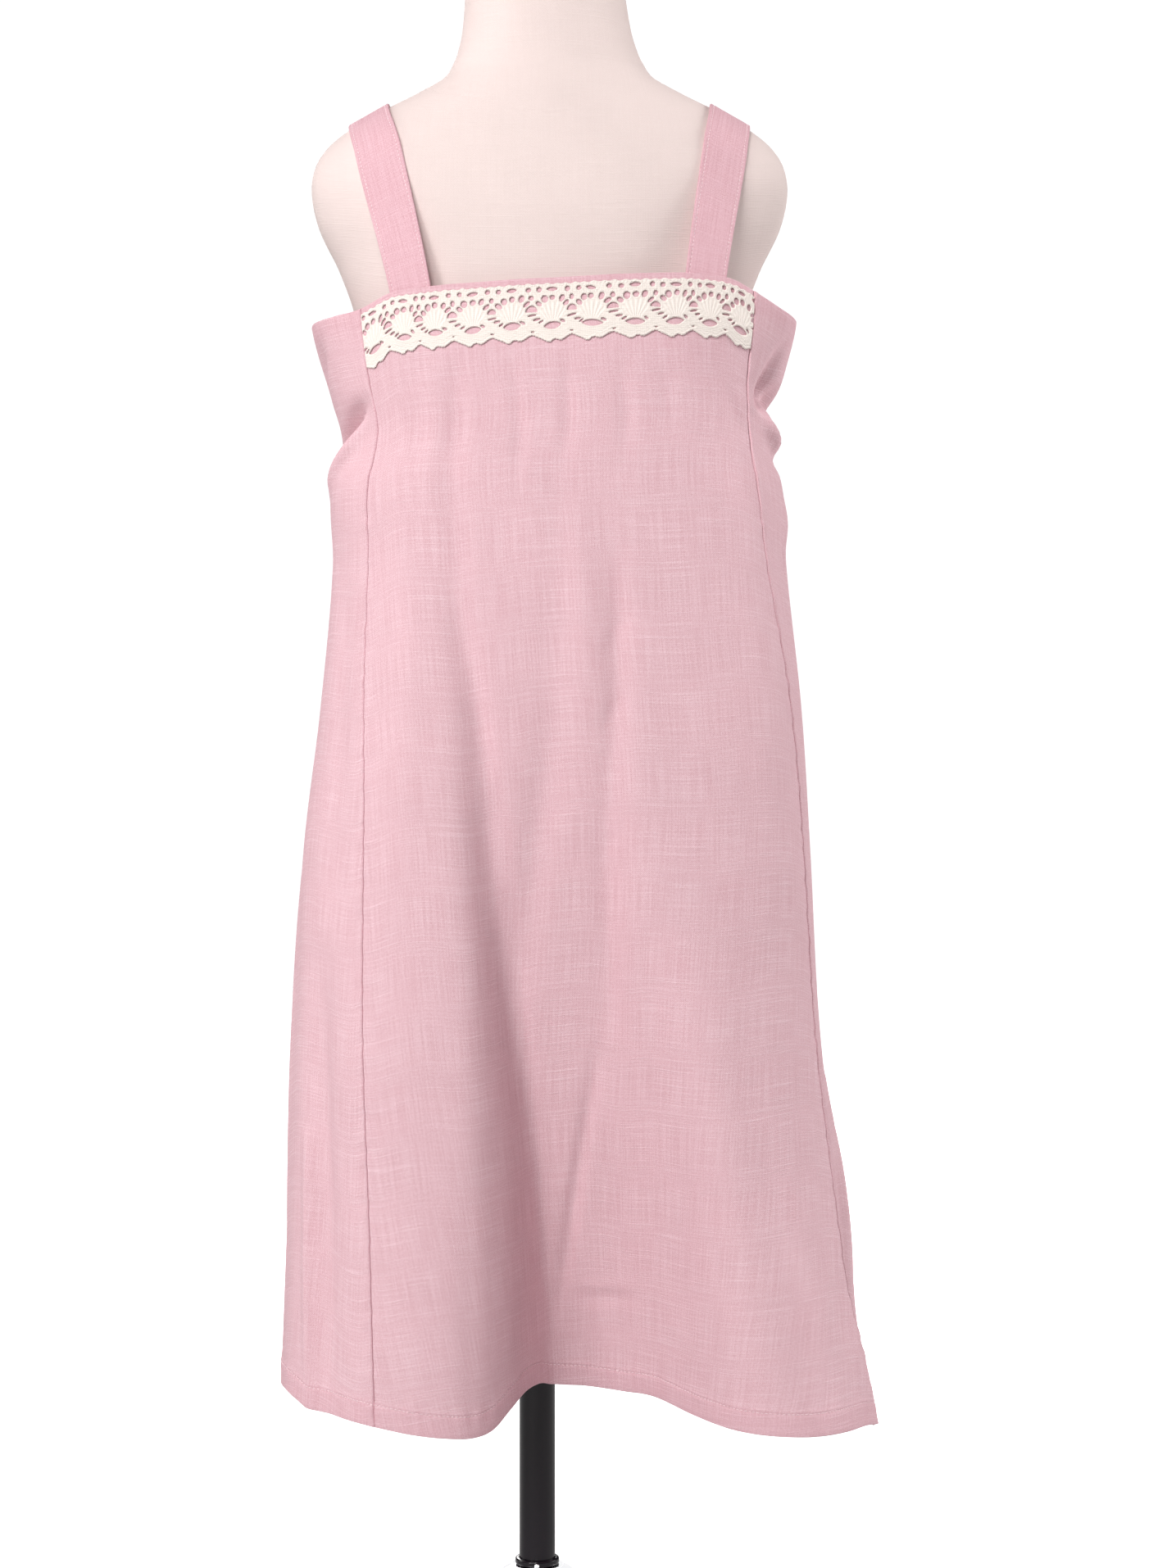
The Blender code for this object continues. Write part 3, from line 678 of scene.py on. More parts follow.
# small creases, listed one by one: turn and height of each end, bow sideways in degrees, half
# breadth, and how far they stand out (or in, below zero)
CREASES = (
    (-45.1, 0.707, -44.9, 0.649, 0.0, 0.0060, -0.0012),
    (-31.9, 0.708, -34.1, 0.653, 0.0, 0.0060, -0.0018),
    (-13.6, 0.708, -13.0, 0.635, 0.0, 0.0055, -0.0013),
    (5.6, 0.708, 2.8, 0.652, 0.0, 0.0055, -0.0013),
    (24.1, 0.708, 22.8, 0.653, 0.0, 0.0055, -0.0012),
    (36.4, 0.706, 36.6, 0.662, 0.0, 0.0055, -0.0009),
    (48.5, 0.707, 54.1, 0.637, 0.0, 0.0060, -0.0016),
    (53.9, 0.695, 61.0, 0.656, 0.0, 0.0040, -0.0015),
    (-34.5, 0.671, -31.5, 0.547, 0.0, 0.0075, -0.0028),
    (-30.2, 0.565, -21.2, 0.428, 0.0, 0.0085, -0.0036),
    (-23.4, 0.455, -11.6, 0.284, 0.0, 0.0090, -0.0058),
    (2.1, 0.652, -1.6, 0.521, 0.0, 0.0130, -0.0020),
    (-1.6, 0.529, -10.0, 0.374, 0.0, 0.0120, -0.0026),
    (6.4, 0.635, 8.9, 0.521, 0.0, 0.0080, 0.0008),
    (19.5, 0.600, 17.0, 0.455, 0.0, 0.0075, -0.0026),
    (16.6, 0.468, 19.1, 0.348, 0.0, 0.0075, -0.0028),
    (16.0, 0.640, 16.0, 0.320, 0.0, 0.0140, -0.0026),
    (11.5, 0.503, 23.8, 0.533, 0.0, 0.0040, -0.0006),
    (12.4, 0.542, 22.5, 0.571, 0.0, 0.0045, -0.0006),
    (13.2, 0.437, 22.9, 0.459, 0.0, 0.0040, -0.0005),
    (14.0, 0.330, -6.8, 0.180, 0.0, 0.0060, -0.0026),
    (-11.2, 0.311, -8.1, 0.185, 0.0, 0.0080, -0.0016),
    (35.5, 0.269, 38.2, 0.152, 0.0, 0.0080, -0.0026),
    (28.0, 0.407, 30.8, 0.313, 0.0, 0.0080, -0.0008),
    (-24.8, 0.393, -25.0, 0.197, 0.0, 0.0110, 0.0020),
    (-27.0, 0.263, -28.5, 0.137, 0.0, 0.0060, -0.0010),
    (-17.4, 0.282, -20.9, 0.131, 0.0, 0.0045, 0.0010),
    (1.9, 0.1935, 29.8, 0.194, 0.0, 0.0034, -0.0013),
    (3.2, 0.198, 28.8, 0.198, 0.0, 0.0035, 0.0009),
    (40.5, 0.239, 46.0, 0.201, 0.0, 0.0050, -0.0007),
    (-45.8, 0.592, -42.2, 0.438, 0.0, 0.0110, 0.0012),
    (-56.5, 0.655, -51.2, 0.539, 0.0, 0.0070, -0.0009),
    (-66.0, 0.380, -61.8, 0.110, 0.0, 0.0095, -0.0058),
    (-61.4, 0.686, -83.1, 0.662, 0.0, 0.0045, -0.0080),
    (-66.0, 0.672, -82.6, 0.644, 0.0, 0.0050, 0.0055),
    (-74.9, 0.723, -84.9, 0.699, 0.0, 0.0060, -0.0030),
    (75.0, 0.720, 68.2, 0.682, 0.0, 0.0065, -0.0080),
    (66.0, 0.684, 80.1, 0.658, 0.0, 0.0050, 0.0055),
    (83.9, 0.624, 78.6, 0.594, 0.0, 0.0045, -0.0022),
    (55.0, 0.650, 52.0, 0.300, 0.0, 0.0300, 0.0085),
    (-69.8, 0.285, -65.9, 0.139, 0.0, 0.0034, 0.0034),
    (-70.0, 0.594, -60.9, 0.414, 0.0, 0.0080, -0.0016),
    (73.5, 0.255, 72.0, 0.150, 0.0, 0.0045, 0.0022),
    (80.0, 0.320, 81.5, 0.134, 0.0, 0.0036, -0.0048),
    (87.0, 0.310, 88.5, 0.134, 0.0, 0.0044, 0.0030),
    (76.0, 0.184, 77.5, 0.080, 0.0, 0.0130, 0.0060),
    (91.0, 0.285, 92.0, 0.195, 0.0, 0.0120, 0.0040),
    (70.0, 0.694, 98.0, 0.687, 0.0, 0.0080, -0.0120),
    (75.0, 0.661, 97.0, 0.658, 0.0, 0.0060, -0.0075),
    (78.0, 0.628, 94.0, 0.622, 0.0, 0.0110, 0.0022),
    (172.0, 0.730, 176.0, 0.610, 1.0, 0.0075, -0.0016),
    (146.0, 0.728, 150.0, 0.560, -1.0, 0.0080, -0.0022),
    (-164.0, 0.728, -158.0, 0.580, 1.0, 0.0080, -0.0020),
    (-142.0, 0.722, -140.0, 0.600, 0.5, 0.0070, -0.0014),
    (164.0, 0.560, 172.0, 0.330, 2.0, 0.0100, 0.0024),
    (-170.0, 0.480, -163.0, 0.250, -2.0, 0.0095, -0.0026),
    (140.0, 0.420, 136.0, 0.240, 1.0, 0.0080, -0.0018),
    (-178.0, 0.200, -160.0, 0.196, 0.0, 0.0036, -0.0012),
    (104.0, 0.700, 99.0, 0.560, 0.0, 0.0080, -0.0018),
    (112.0, 0.520, 108.0, 0.330, 1.0, 0.0085, -0.0020),
    (96.0, 0.400, 103.0, 0.220, -1.0, 0.0080, 0.0018),
    (-98.0, 0.690, -93.0, 0.540, 0.0, 0.0080, -0.0018),
    (-105.0, 0.520, -98.0, 0.320, 1.0, 0.0090, -0.0024),
    (-88.0, 0.420, -84.0, 0.240, -1.0, 0.0080, 0.0020),
)


def turn_apart(turn, other):
    return (turn - other + 180) % 360 - 180


def folds_out(turn, height):
    """How far the great folds push the cloth out of its plain section."""
    out = np.zeros(np.shape(turn))
    for start, growth, turn_high, turn_hem, left, right, full_left, full_right, depth in FOLDS:
        grown = np.maximum((start - height) / (start - HEM_LEVEL), 0)
        swing = turn_apart(turn_hem, turn_high)
        centre = turn_high + swing * (1 - np.maximum(1 - grown, 0) ** 3)
        apart = turn_apart(turn, centre)
        share = abs(apart) / (np.where(apart < 0, left, right) * (0.55 + 0.45 * grown))
        out += depth * grown**growth * np.exp(-(share ** np.where(apart < 0, full_left, full_right)))
    return out


def creases_out(turn, height, girth):
    """How far the small creases move the cloth. girth is the cloth's mean radius there."""
    out = np.zeros(np.shape(turn))
    for turn_0, high_0, turn_1, high_1, bow, breadth, depth in CREASES:
        aside = math.radians(turn_apart(turn_1, turn_0)) * CREASE_RADIUS
        run = np.array([aside, high_1 - high_0])
        length = math.hypot(*run)
        run = run / length
        x = np.radians(turn_apart(turn, turn_0)) * girth
        z = height - high_0
        share = (x * run[0] + z * run[1]) / length
        inside = np.clip(share, 0, 1)
        away = x * run[1] - z * run[0]
        away = away - math.radians(bow) * girth * np.sin(math.pi * inside)
        beyond = np.maximum(abs(share - 0.5) - 0.5, 0) * length
        fade = np.sin(math.pi * np.clip(inside * 0.9 + 0.05, 0, 1)) ** 0.7
        out += depth * fade * np.exp(-((away / breadth) ** 2) - (beyond / breadth) ** 2)
    return out


def cloth_face(turn, height, raised=0.0):
    """Points of the cloth's outer face, moved out level by raised."""
    left, right, front, back, squareness = between(CLOTH_SECTIONS, height)
    across, along, out_x, out_y = rounded_section(turn, (right - left) / 2, front, back, squareness)
    girth = (right - left + front + back) / 4
    out = folds_out(turn, height) + creases_out(turn, height, girth) + raised
    return np.stack([(left + right) / 2 + across + out_x * out, along + out_y * out, height], -1)


def cloth_place(turn, height):
    """Points of the cloth's outer face, and the direction straight out of it there."""
    turn_step, height_step = 0.1, 0.0004
    across = cloth_face(turn + turn_step, height) - cloth_face(turn - turn_step, height)
    up = cloth_face(turn, height + height_step) - cloth_face(turn, height - height_step)
    out = np.cross(across, up)
    return cloth_face(turn, height), out / np.linalg.norm(out, axis=-1, keepdims=True)


def seam_turns(panel, height):
    left_front, right_front, right_back, left_back = between(SEAMS, height)
    return {
        "front": (left_front, right_front),
        "right": (right_front, right_back),
        "back": (right_back, left_back + 360),
        "left": (left_back, left_front),
    }[panel]


def panel_turn(panel, share, height):
    start, end = seam_turns(panel, height)
    return start + (end - start) * share


def along_rows(panel, up_share, rise, inward):
    """Turns and heights of places on rows of a panel. A row lies a share of the way up from hem
    to top, plus a rise; inward gives the places by their length along the row from its start."""
    share = np.linspace(0, 1, 481)
    top = between(EDGES, turn_apart(panel_turn(panel, share, np.full(481, TOP_LEVEL)), 0))[0]
    hem = between(EDGES, turn_apart(panel_turn(panel, share, np.full(481, HEM_LEVEL)), 0))[1]
    up_share, rise = np.asarray(up_share)[:, None], np.asarray(rise)[:, None]
    height = hem + (top - hem) * up_share + rise
    turn = panel_turn(panel, share[None, :], height)
    run = run_along(cloth_face(turn, height))
    turns, heights, lengths = [], [], run[:, -1]
    for k, length in enumerate(lengths):
        places = inward(length)
        turns.append(np.interp(places, run[k], turn[k]))
        heights.append(np.interp(places, run[k], height[k]))
    return np.array(turns), np.array(heights), lengths


def folded_edge(allowance, roll, bends=6):
    """A turned edge's path from its raw edge inside, round the fold and on to the face, as
    (distance in from the fold, depth below the face)."""
    raw = [(allowance, 2 * roll), ((allowance + roll) / 2, 2 * roll)]
    angles = np.linspace(0, math.pi, bends + 1)
    return raw + [(roll * (1 - math.sin(a)), roll * (1 + math.cos(a))) for a in angles]


def sewn_relief(panel, turn, height, from_seam):
    """How far a panel stands out or in beside its seams and over its hem."""
    above = height - between(EDGES, turn_apart(turn, 0))[1]
    along = np.radians(turn) * HEM_RADIUS
    ripple = (
        0.45 * np.sin(along * 483 + 1.3 * np.sin(along * 88))
        + 0.30 * np.sin(along * 757 + 2.0)
        + 0.35 * np.sin(along * 203)
    )
    near_hem = np.exp(-(((above - HEM_STITCH_RISE) / 0.0050) ** 2))
    dent = np.exp(-(((above - HEM_STITCH_RISE) / 0.0007) ** 2))
    doubled = np.clip((HEM_TURNING + 0.0008 - above) / 0.0016, 0, 1)
    hem = 0.00042 * ripple * near_hem - 0.00034 * dent + 0.00025 * doubled
    pull = 0.5 * np.sin(height * 370 + 1.5 * np.sin(height * 70)) + 0.4 * np.sin(height * 661 + 1)
    low = 1 / (1 + np.exp((height - 0.708) / 0.004))
    ledge = SEAM_LEDGE[panel] * np.exp(-((from_seam / 0.0035) ** 2))
    return hem + 0.00042 * pull * low * np.exp(-((from_seam / 0.0065) ** 2)) + ledge


def thicken(piece, thickness):
    wall = piece.modifiers.new("wall", "SOLIDIFY")
    wall.thickness = thickness
    wall.offset = -1.0


def mark_doubled(piece, shares):
    """How far each point of a cloth lies double, for the deeper tint there."""
    layers = piece.data.attributes.new("doubled", "FLOAT", "POINT")
    layers.data.foreach_set("value", shares.ravel().astype(np.float32))


def panel_sheet(name, panel, columns, rows, surface, middle=0.5):
    """A panel's cloth with all its turned edges, as one thin sheet."""
    side = np.array(folded_edge(SEAM_ALLOWANCE, SEAM_ROLL))
    top = folded_edge(TOP_TURNING, EDGE_ROLL)
    hem = folded_edge(HEM_TURNING, EDGE_ROLL) + [(rise, 0) for rise in HEM_ROWS]
    top_rows = [(1.0, -distance, depth) for distance, depth in top[::-1]]
    hem_rows = [(0.0, distance, depth) for distance, depth in hem]
    low, high = hem[-1][0], top[-1][0]
    even = [(k / rows, low * (1 - k / rows) - high * k / rows, 0.0) for k in range(1, rows)]
    up_share, rise, row_depth = np.array(hem_rows + even + top_rows).T
    inner = side[-1, 0] + SEAM_PARTING

    def inward(length):
        middle = np.linspace(inner, length - inner, columns + 1)[1:-1]
        edge = side[:, 0] + SEAM_PARTING
        return np.concatenate([edge, middle, length - edge[::-1]])

    turn, height, lengths = along_rows(panel, up_share, rise, inward)
    place = np.stack([inward(length) for length in lengths])
    from_seam = np.minimum(place, lengths[:, None] - place)
    face, out = cloth_place(turn, height)
    column_depth = np.concatenate([side[:, 1], np.zeros(columns - 1), side[::-1, 1]])
    depth = row_depth[:, None] + column_depth[None, :] - sewn_relief(panel, turn, height, from_seam)
    grid = face - out * depth[..., None]
    made = skin(name, grid, surface, threads=thread_lengths(grid, middle))
    top_edge, hem_edge = between(EDGES, turn_apart(turn, 0))
    doubled = np.maximum(HEM_TURNING + hem_edge - height, TOP_TURNING + height - top_edge) / 0.0008
    mark_doubled(made, 0.6 * np.clip(doubled, 0, 1))
    thicken(made, CLOTH)
    return made


pink_linen = cloth_finish(
    "pink_slub_linen",
    (0.655, 0.358, 0.405),
    (0.895, 0.663, 0.715),
    {"Pitch": 0.00056, "Weave": 0.40, "Slubs": 0.17, "Streaks": 0.20, "Grain": 0.36},
    relief=0.4,
    crumpled=0.06,
    cloud=0.03,
    doubled=(0.955, 0.90, 0.915),
    Roughness=0.88,
    Specular_IOR_Level=0.15,
    Sheen_Weight=0.03,
    Sheen_Roughness=0.5,
)
front = panel_sheet("front_cloth", "front", 210, 170, pink_linen, middle=0.33)

# The two side panels and the back: the same linen, each cut as an A-shaped gore, joined to
# its neighbours by pressed-open seams and hemmed in one round with the front.

right_side = panel_sheet("right_side_cloth", "right", 104, 220, pink_linen)
back = panel_sheet("back_cloth", "back", 180, 150, pink_linen)
left_side = panel_sheet("left_side_cloth", "left", 112, 220, pink_linen)
for piece, node in (
    (front, "front_panel"),
    (right_side, "side_panel_right"),
    (back, "back_panel"),
    (left_side, "side_panel_left"),
):
    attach(piece, "root")
    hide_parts(node)

# The straps: each is a band of the same linen sewn double, with a row of stitches near both
# edges. Its ends are tucked inside the bib and the back, and it lies over the shoulder.

STRAP_THICKNESS = 0.0016
STRAP_STITCH_IN = 0.0022
STRAP_PHASES = (0.7, 3.1)
STRAP_WIDTH = 0.0225
STRAP_TUCK = 0.015
STRAP_SWING = 2.6
STRAP_SEAT = 0.0037
SHOULDER_REST = 0.0006
STRAP_ROWS = 171

# across at the front edge, at the shoulder and at the back edge
STRAP_PLACES = {"left": (-0.0670, -0.0945, -0.0560), "right": (0.0925, 0.1085, 0.0700)}

# how far points across half a strap lie in from its edge, closest at its edge and its stitches
STRAP_POINTS = (
    (0, 0.0001, 0.0003, 0.0006, 0.0010, 0.0015, 0.0019)
    + (0.0022, 0.0025, 0.0030, 0.0040, 0.0060, 0.0085)
)

# twentieths of a strap's length between which it runs straight or bends evenly
STRAP_STATIONS = (0, 1, 6, 7, 8, 9, 10, 11, 12, 13, 14, 19, 20)


def halved(low, high, short):
    """The places where a test on places stops holding, found by halving between two bounds."""
    for _ in range(30):
        middle = (low + high) / 2
        held = short(middle)
        low, high = np.where(held, middle, low), np.where(held, high, middle)
    return low


def shoulder_height(across, along):
    """Heights at which a strap rests on the form over places in plan, zero past its shoulders."""

    def inside(height):
        half_width, front, back, squareness = between(FORM_SECTIONS, height)
        depth = np.where(along < 0, front, back) + SHOULDER_REST
        reach = abs((across - FORM_CENTRE_X) / (half_width + SHOULDER_REST)) ** squareness
        return reach + abs(along / depth) ** squareness <= 1

    low = np.full(len(across), 0.80)
    return np.where(inside(low), halved(low, low + 0.10, inside) + SHOULDER_REST, 0)


def strap_seat(across, first_turn, last_turn):
    """Where a strap's inner face lies inside the dress's top edge, at a place across it."""

    def seat(turn):
        return cloth_face(turn, between(EDGES, turn_apart(turn, 0))[0], -STRAP_SEAT)

    turn = halved(np.array(first_turn), np.array(last_turn), lambda turn: seat(turn)[0] < across)
    return seat(turn)[1:]


def strap_edge(places, aside):
    """One lengthwise line of a strap, aside from its middle: tucked in at both ends, and drawn
    tight over what it touches on its way over the shoulder."""
    at_front, at_top, at_back = places
    y_front, z_front = strap_seat(at_front + aside, -85.0, 85.0)
    y_back, z_back = strap_seat(at_back + aside, 265.0, 95.0)
    along = np.linspace(y_front, y_back, 61)
    ahead = along < 0
    share = abs(along / np.where(ahead, y_front, y_back))
    across = at_top + (np.where(ahead, at_front, at_back) - at_top) * share**STRAP_SWING + aside
    height = shoulder_height(across, along)
    height[0], height[-1] = z_front, z_back
    tight = []
    for k in np.flatnonzero(height):
        while len(tight) > 1:
            i, j = tight[-2:]
            rise, run = height[[j, k]] - height[i], along[[j, k]] - along[i]
            if run[0] * rise[1] < rise[0] * run[1]:
                break
            tight.pop()
        tight.append(k)
    line = np.stack([across, along, height], -1)[tight]
    ends = line[[0, -1]] - (0, 0, STRAP_TUCK)
    return np.concatenate([ends[:1], line, ends[1:]])


def strap_route(places):
    """Rows of a strap's length from its front end, then its inner face's two edges there."""
    shares = np.array(STRAP_STATIONS) / 20
    edges, lengths = [], []
    for aside in (-STRAP_WIDTH / 2, STRAP_WIDTH / 2):
        line = strap_edge(places, aside)
        run = run_along(line)
        edges += [np.interp(shares * run[-1], run, line[:, k]) for k in range(3)]
        lengths.append(run[-1])
    return np.column_stack([shares * np.mean(lengths), *edges])


STRAP_ROUTES = {side: strap_route(places) for side, places in STRAP_PLACES.items()}


def strap_frame(side, lengths):
    """Left edge, right edge and outward direction of a strap's inner face at lengths along it."""
    values = between(STRAP_ROUTES[side], lengths)
    left, right = np.stack(values[:3], -1), np.stack(values[3:], -1)
    across = (right - left) / np.linalg.norm(right - left, axis=-1, keepdims=True)
    onward = np.gradient((left + right) / 2, axis=0)
    out = np.cross(across, onward)
    return left, right, out / np.linalg.norm(out, axis=-1, keepdims=True)


def strap_half_thickness(inward, length, phase):
    """Half a strap's thickness at a distance in from its edge: round at the edge, drawn in at the
    stitches, and slightly uneven along them."""
    edge = np.maximum(1 - inward / 0.0010, 0)
    drawn = np.exp(-(((inward - STRAP_STITCH_IN) / 0.00045) ** 2))
    uneven = np.exp(-(((inward - STRAP_STITCH_IN) / 0.0020) ** 2))
    ripple = np.sin(length * 780 + phase + 1.2 * np.sin(length * 130))
    ripple = ripple + 0.6 * np.sin(length * 1310 + phase)
    return STRAP_THICKNESS / 2 * (1 - edge**2.4) ** 0.45 - 0.00024 * drawn + 0.00006 * ripple * uneven


def strap_band(name, side, surface):
    """A strap's doubled cloth as one closed band, hollow between its layers."""
    length = STRAP_ROUTES[side][-1][0]
    lengths = np.linspace(0, length, STRAP_ROWS)
    left, right, out = strap_frame(side, lengths)
    width = np.linalg.norm(right - left, axis=-1).mean()
    half = np.append(STRAP_POINTS, width / 2)
    offset = np.concatenate([half, width - half[-2::-1]])
    offset = np.concatenate([offset, offset[-2:0:-1]])
    layer = np.concatenate([np.ones(2 * len(half) - 1), -np.ones(2 * len(half) - 3)])
    inward = np.minimum(offset, width - offset)
    phase = np.where(offset < width / 2, *STRAP_PHASES)
    half_thick = strap_half_thickness(inward[None, :], lengths[:, None], phase[None, :])
    share = offset[None, :, None] / width
    grid = left[:, None] * (1 - share) + right[:, None] * share
    grid = grid + out[:, None] * (STRAP_THICKNESS / 2 + half_thick * layer[None, :])[..., None]
    around = run_along(np.concatenate([grid, grid[:, :1]], 1))
    threads = np.stack([around, np.repeat(lengths[:, None], around.shape[1], 1)], -1)
    made = skin(name, grid, surface, ring=True, threads=threads)
    mark_doubled(made, np.ones(len(made.data.vertices)))
    thicken(made, CLOTH)
    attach(made, "root")
    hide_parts("strap_" + side)
    return made


left_strap = strap_band("left_strap", "left", pink_linen)
right_strap = strap_band("right_strap", "right", pink_linen)

# The lace: one band of cream cotton bobbin lace laid over the bib from seam to seam, a little
# below its top edge. Eleven fans with round, slit and almond openings end in a scalloped border.

FAN_WIDTH = 21.5
FAN_ROOT = 24.0
FAN_MIDDLE = 15.4
FAN_HALF_WIDTH = 6.6
FAN_HALF_HEIGHT = 4.8
FAN_THREADS = 30.0
LACE_DROP = 0.003
LACE_DEPTH = 32.6
LACE_STEP = 0.40
LACE_COLUMNS = 561
LACE_ENDS = 0.0006
HOLE_REACH = 8
LACE_FACE = 0.0010
LACE_WALL = 0.0006

# place of each fan's middle along the band, counted in even fans
FAN_PLACES = (-0.08, 0.87, 1.71, 2.73, 3.77, 4.85, 5.87, 7.04, 8.14, 9.07, 10.03)

# one fan's openings in millimetres: across from its middle, down from the band's top, half
# width, half height, tilt anticlockwise in degrees, shape
LACE_HOLES = (
    (0.0, 3.5, 3.1, 1.0, 0, "almond"),
    (-6.9, 3.4, 1.3, 1.2, 0, "round"),
    (8.9, 3.4, 1.3, 1.2, 0, "round"),
    (-4.2, 8.8, 1.6, 1.8, 10, "round"),
    (0.3, 8.0, 1.5, 1.5, 0, "round"),
    (5.3, 8.5, 1.3, 1.9, -24, "round"),
    (10.7, 8.0, 1.2, 1.4, 0, "round"),
    (7.9, 11.3, 2.0, 1.0, 36, "round"),
    (-7.1, 11.3, 1.8, 1.2, -38, "round"),
    (10.7, 13.9, 2.9, 1.6, 0, "dome"),
    (10.6, 17.5, 2.5, 0.50, 8, "round"),
    (-8.0, 19.7, 1.8, 0.60, 12, "round"),
    (-5.7, 21.2, 1.4, 0.50, 32, "round"),
    (5.6, 21.0, 1.4, 0.65, -32, "round"),
    (0.0, 22.9, 5.1, 1.8, 0, "almond"),
    (10.8, 26.0, 1.1, 0.30, 0, "round"),
)

# the border's lower edge over one fan: across, down
LACE_BORDER = (
    (-10.7, 28.0),
    (-7.5, 29.5),
    (-4.8, 30.7),
    (-2.9, 31.8),
    (-1.1, 31.8),
    (0.2, 30.6),
    (1.6, 30.2),
    (3.4, 30.9),
    (5.0, 30.9),
    (6.6, 30.0),
    (8.9, 28.6),
    (10.8, 28.0),
)


def opening(across, down, half_width, half_height, tilt, shape):
    """How far places lie outside an opening of the lace, in millimetres, below zero inside it."""
    turn = math.radians(tilt)
    u = across * math.cos(turn) - down * math.sin(turn)
    v = -across * math.sin(turn) - down * math.cos(turn)
    if shape == "almond":
        radius = (half_width**2 + half_height**2) / (2 * half_height)
        return np.hypot(u, abs(v) + radius - half_height) - radius
    if shape == "dome":
        dome = (np.hypot(u / half_width, (v + half_height) / (2 * half_height)) - 1) * half_width * 0.8
        return np.maximum(dome, -(v + half_height))
    return (np.hypot(u / half_width, v / half_height) - 1) * min(half_width, half_height)


def lace_inside(across, down):
    """How far places lie inside the lace's threads, in millimetres, below zero where it is open."""
    chance = np.random.default_rng(5)
    local = (across + FAN_WIDTH / 2) % FAN_WIDTH - FAN_WIDTH / 2
    border = np.array(LACE_BORDER)
    lower = np.interp(local, border[:, 0], border[:, 1])
    lower += 0.22 * np.sin(across * 4.6 + 1.3 * np.sin(across * 0.6))
    upper = 0.35 + 0.3 * np.sin(across * 1.24) + 0.12 * np.sin(across * 0.71)
    inside = np.minimum((lower - down) * 0.85, down - upper)
    columns = across[0]
    for fan in range(-1, len(FAN_PLACES) + 1):
        for x, y, half_width, half_height, tilt, shape in LACE_HOLES:
            shift_x, shift_y, wide, tall, lean = chance.normal(size=5)
            x = x + fan * FAN_WIDTH + 0.22 * shift_x
            near = slice(*np.searchsorted(columns, (x - HOLE_REACH, x + HOLE_REACH)))
            if near.start == near.stop:
                continue
            found = opening(
                across[:, near] - x,
                down[:, near] - y - 0.2 * shift_y,
                half_width * (1 + 0.07 * wide),
                half_height * (1 + 0.07 * tall),
                tilt + 4 * lean,
                shape,
            )
            inside[:, near] = np.minimum(inside[:, near], found)
    return inside, lower


def lace_relief(across, down, inside, lower):
    """How far the lace's threads stand out of its plain face, in millimetres."""
    local = (across + FAN_WIDTH / 2) % FAN_WIDTH - FAN_WIDTH / 2
    edges = -0.34 * np.exp(-np.maximum(inside, 0) / 0.28)
    edges += 0.20 * np.exp(-(((inside - 0.62) / 0.30) ** 2))
    reach = np.hypot(local / FAN_HALF_WIDTH, (down - FAN_MIDDLE) / FAN_HALF_HEIGHT)
    rays = np.sin(np.arctan2(local, FAN_ROOT - down) * FAN_THREADS)
    rays *= 0.11 / (1 + np.exp((reach - 1) * 9))
    braids = sum(
        0.17 * np.exp(-(((down - y) / 0.7) ** 2)) * np.sin(across * 3.4 + lean * (down - y) * 2.5)
        for y, lean in ((1.3, 1), (5.6, -1))
    )
    from_edge = lower - down
    cords = -0.26 * np.exp(-(((from_edge - 1.7) / 0.35) ** 2))
    cords -= 0.22 * np.exp(-(((from_edge - 3.3) / 0.3) ** 2))
    return edges + rays + braids + cords


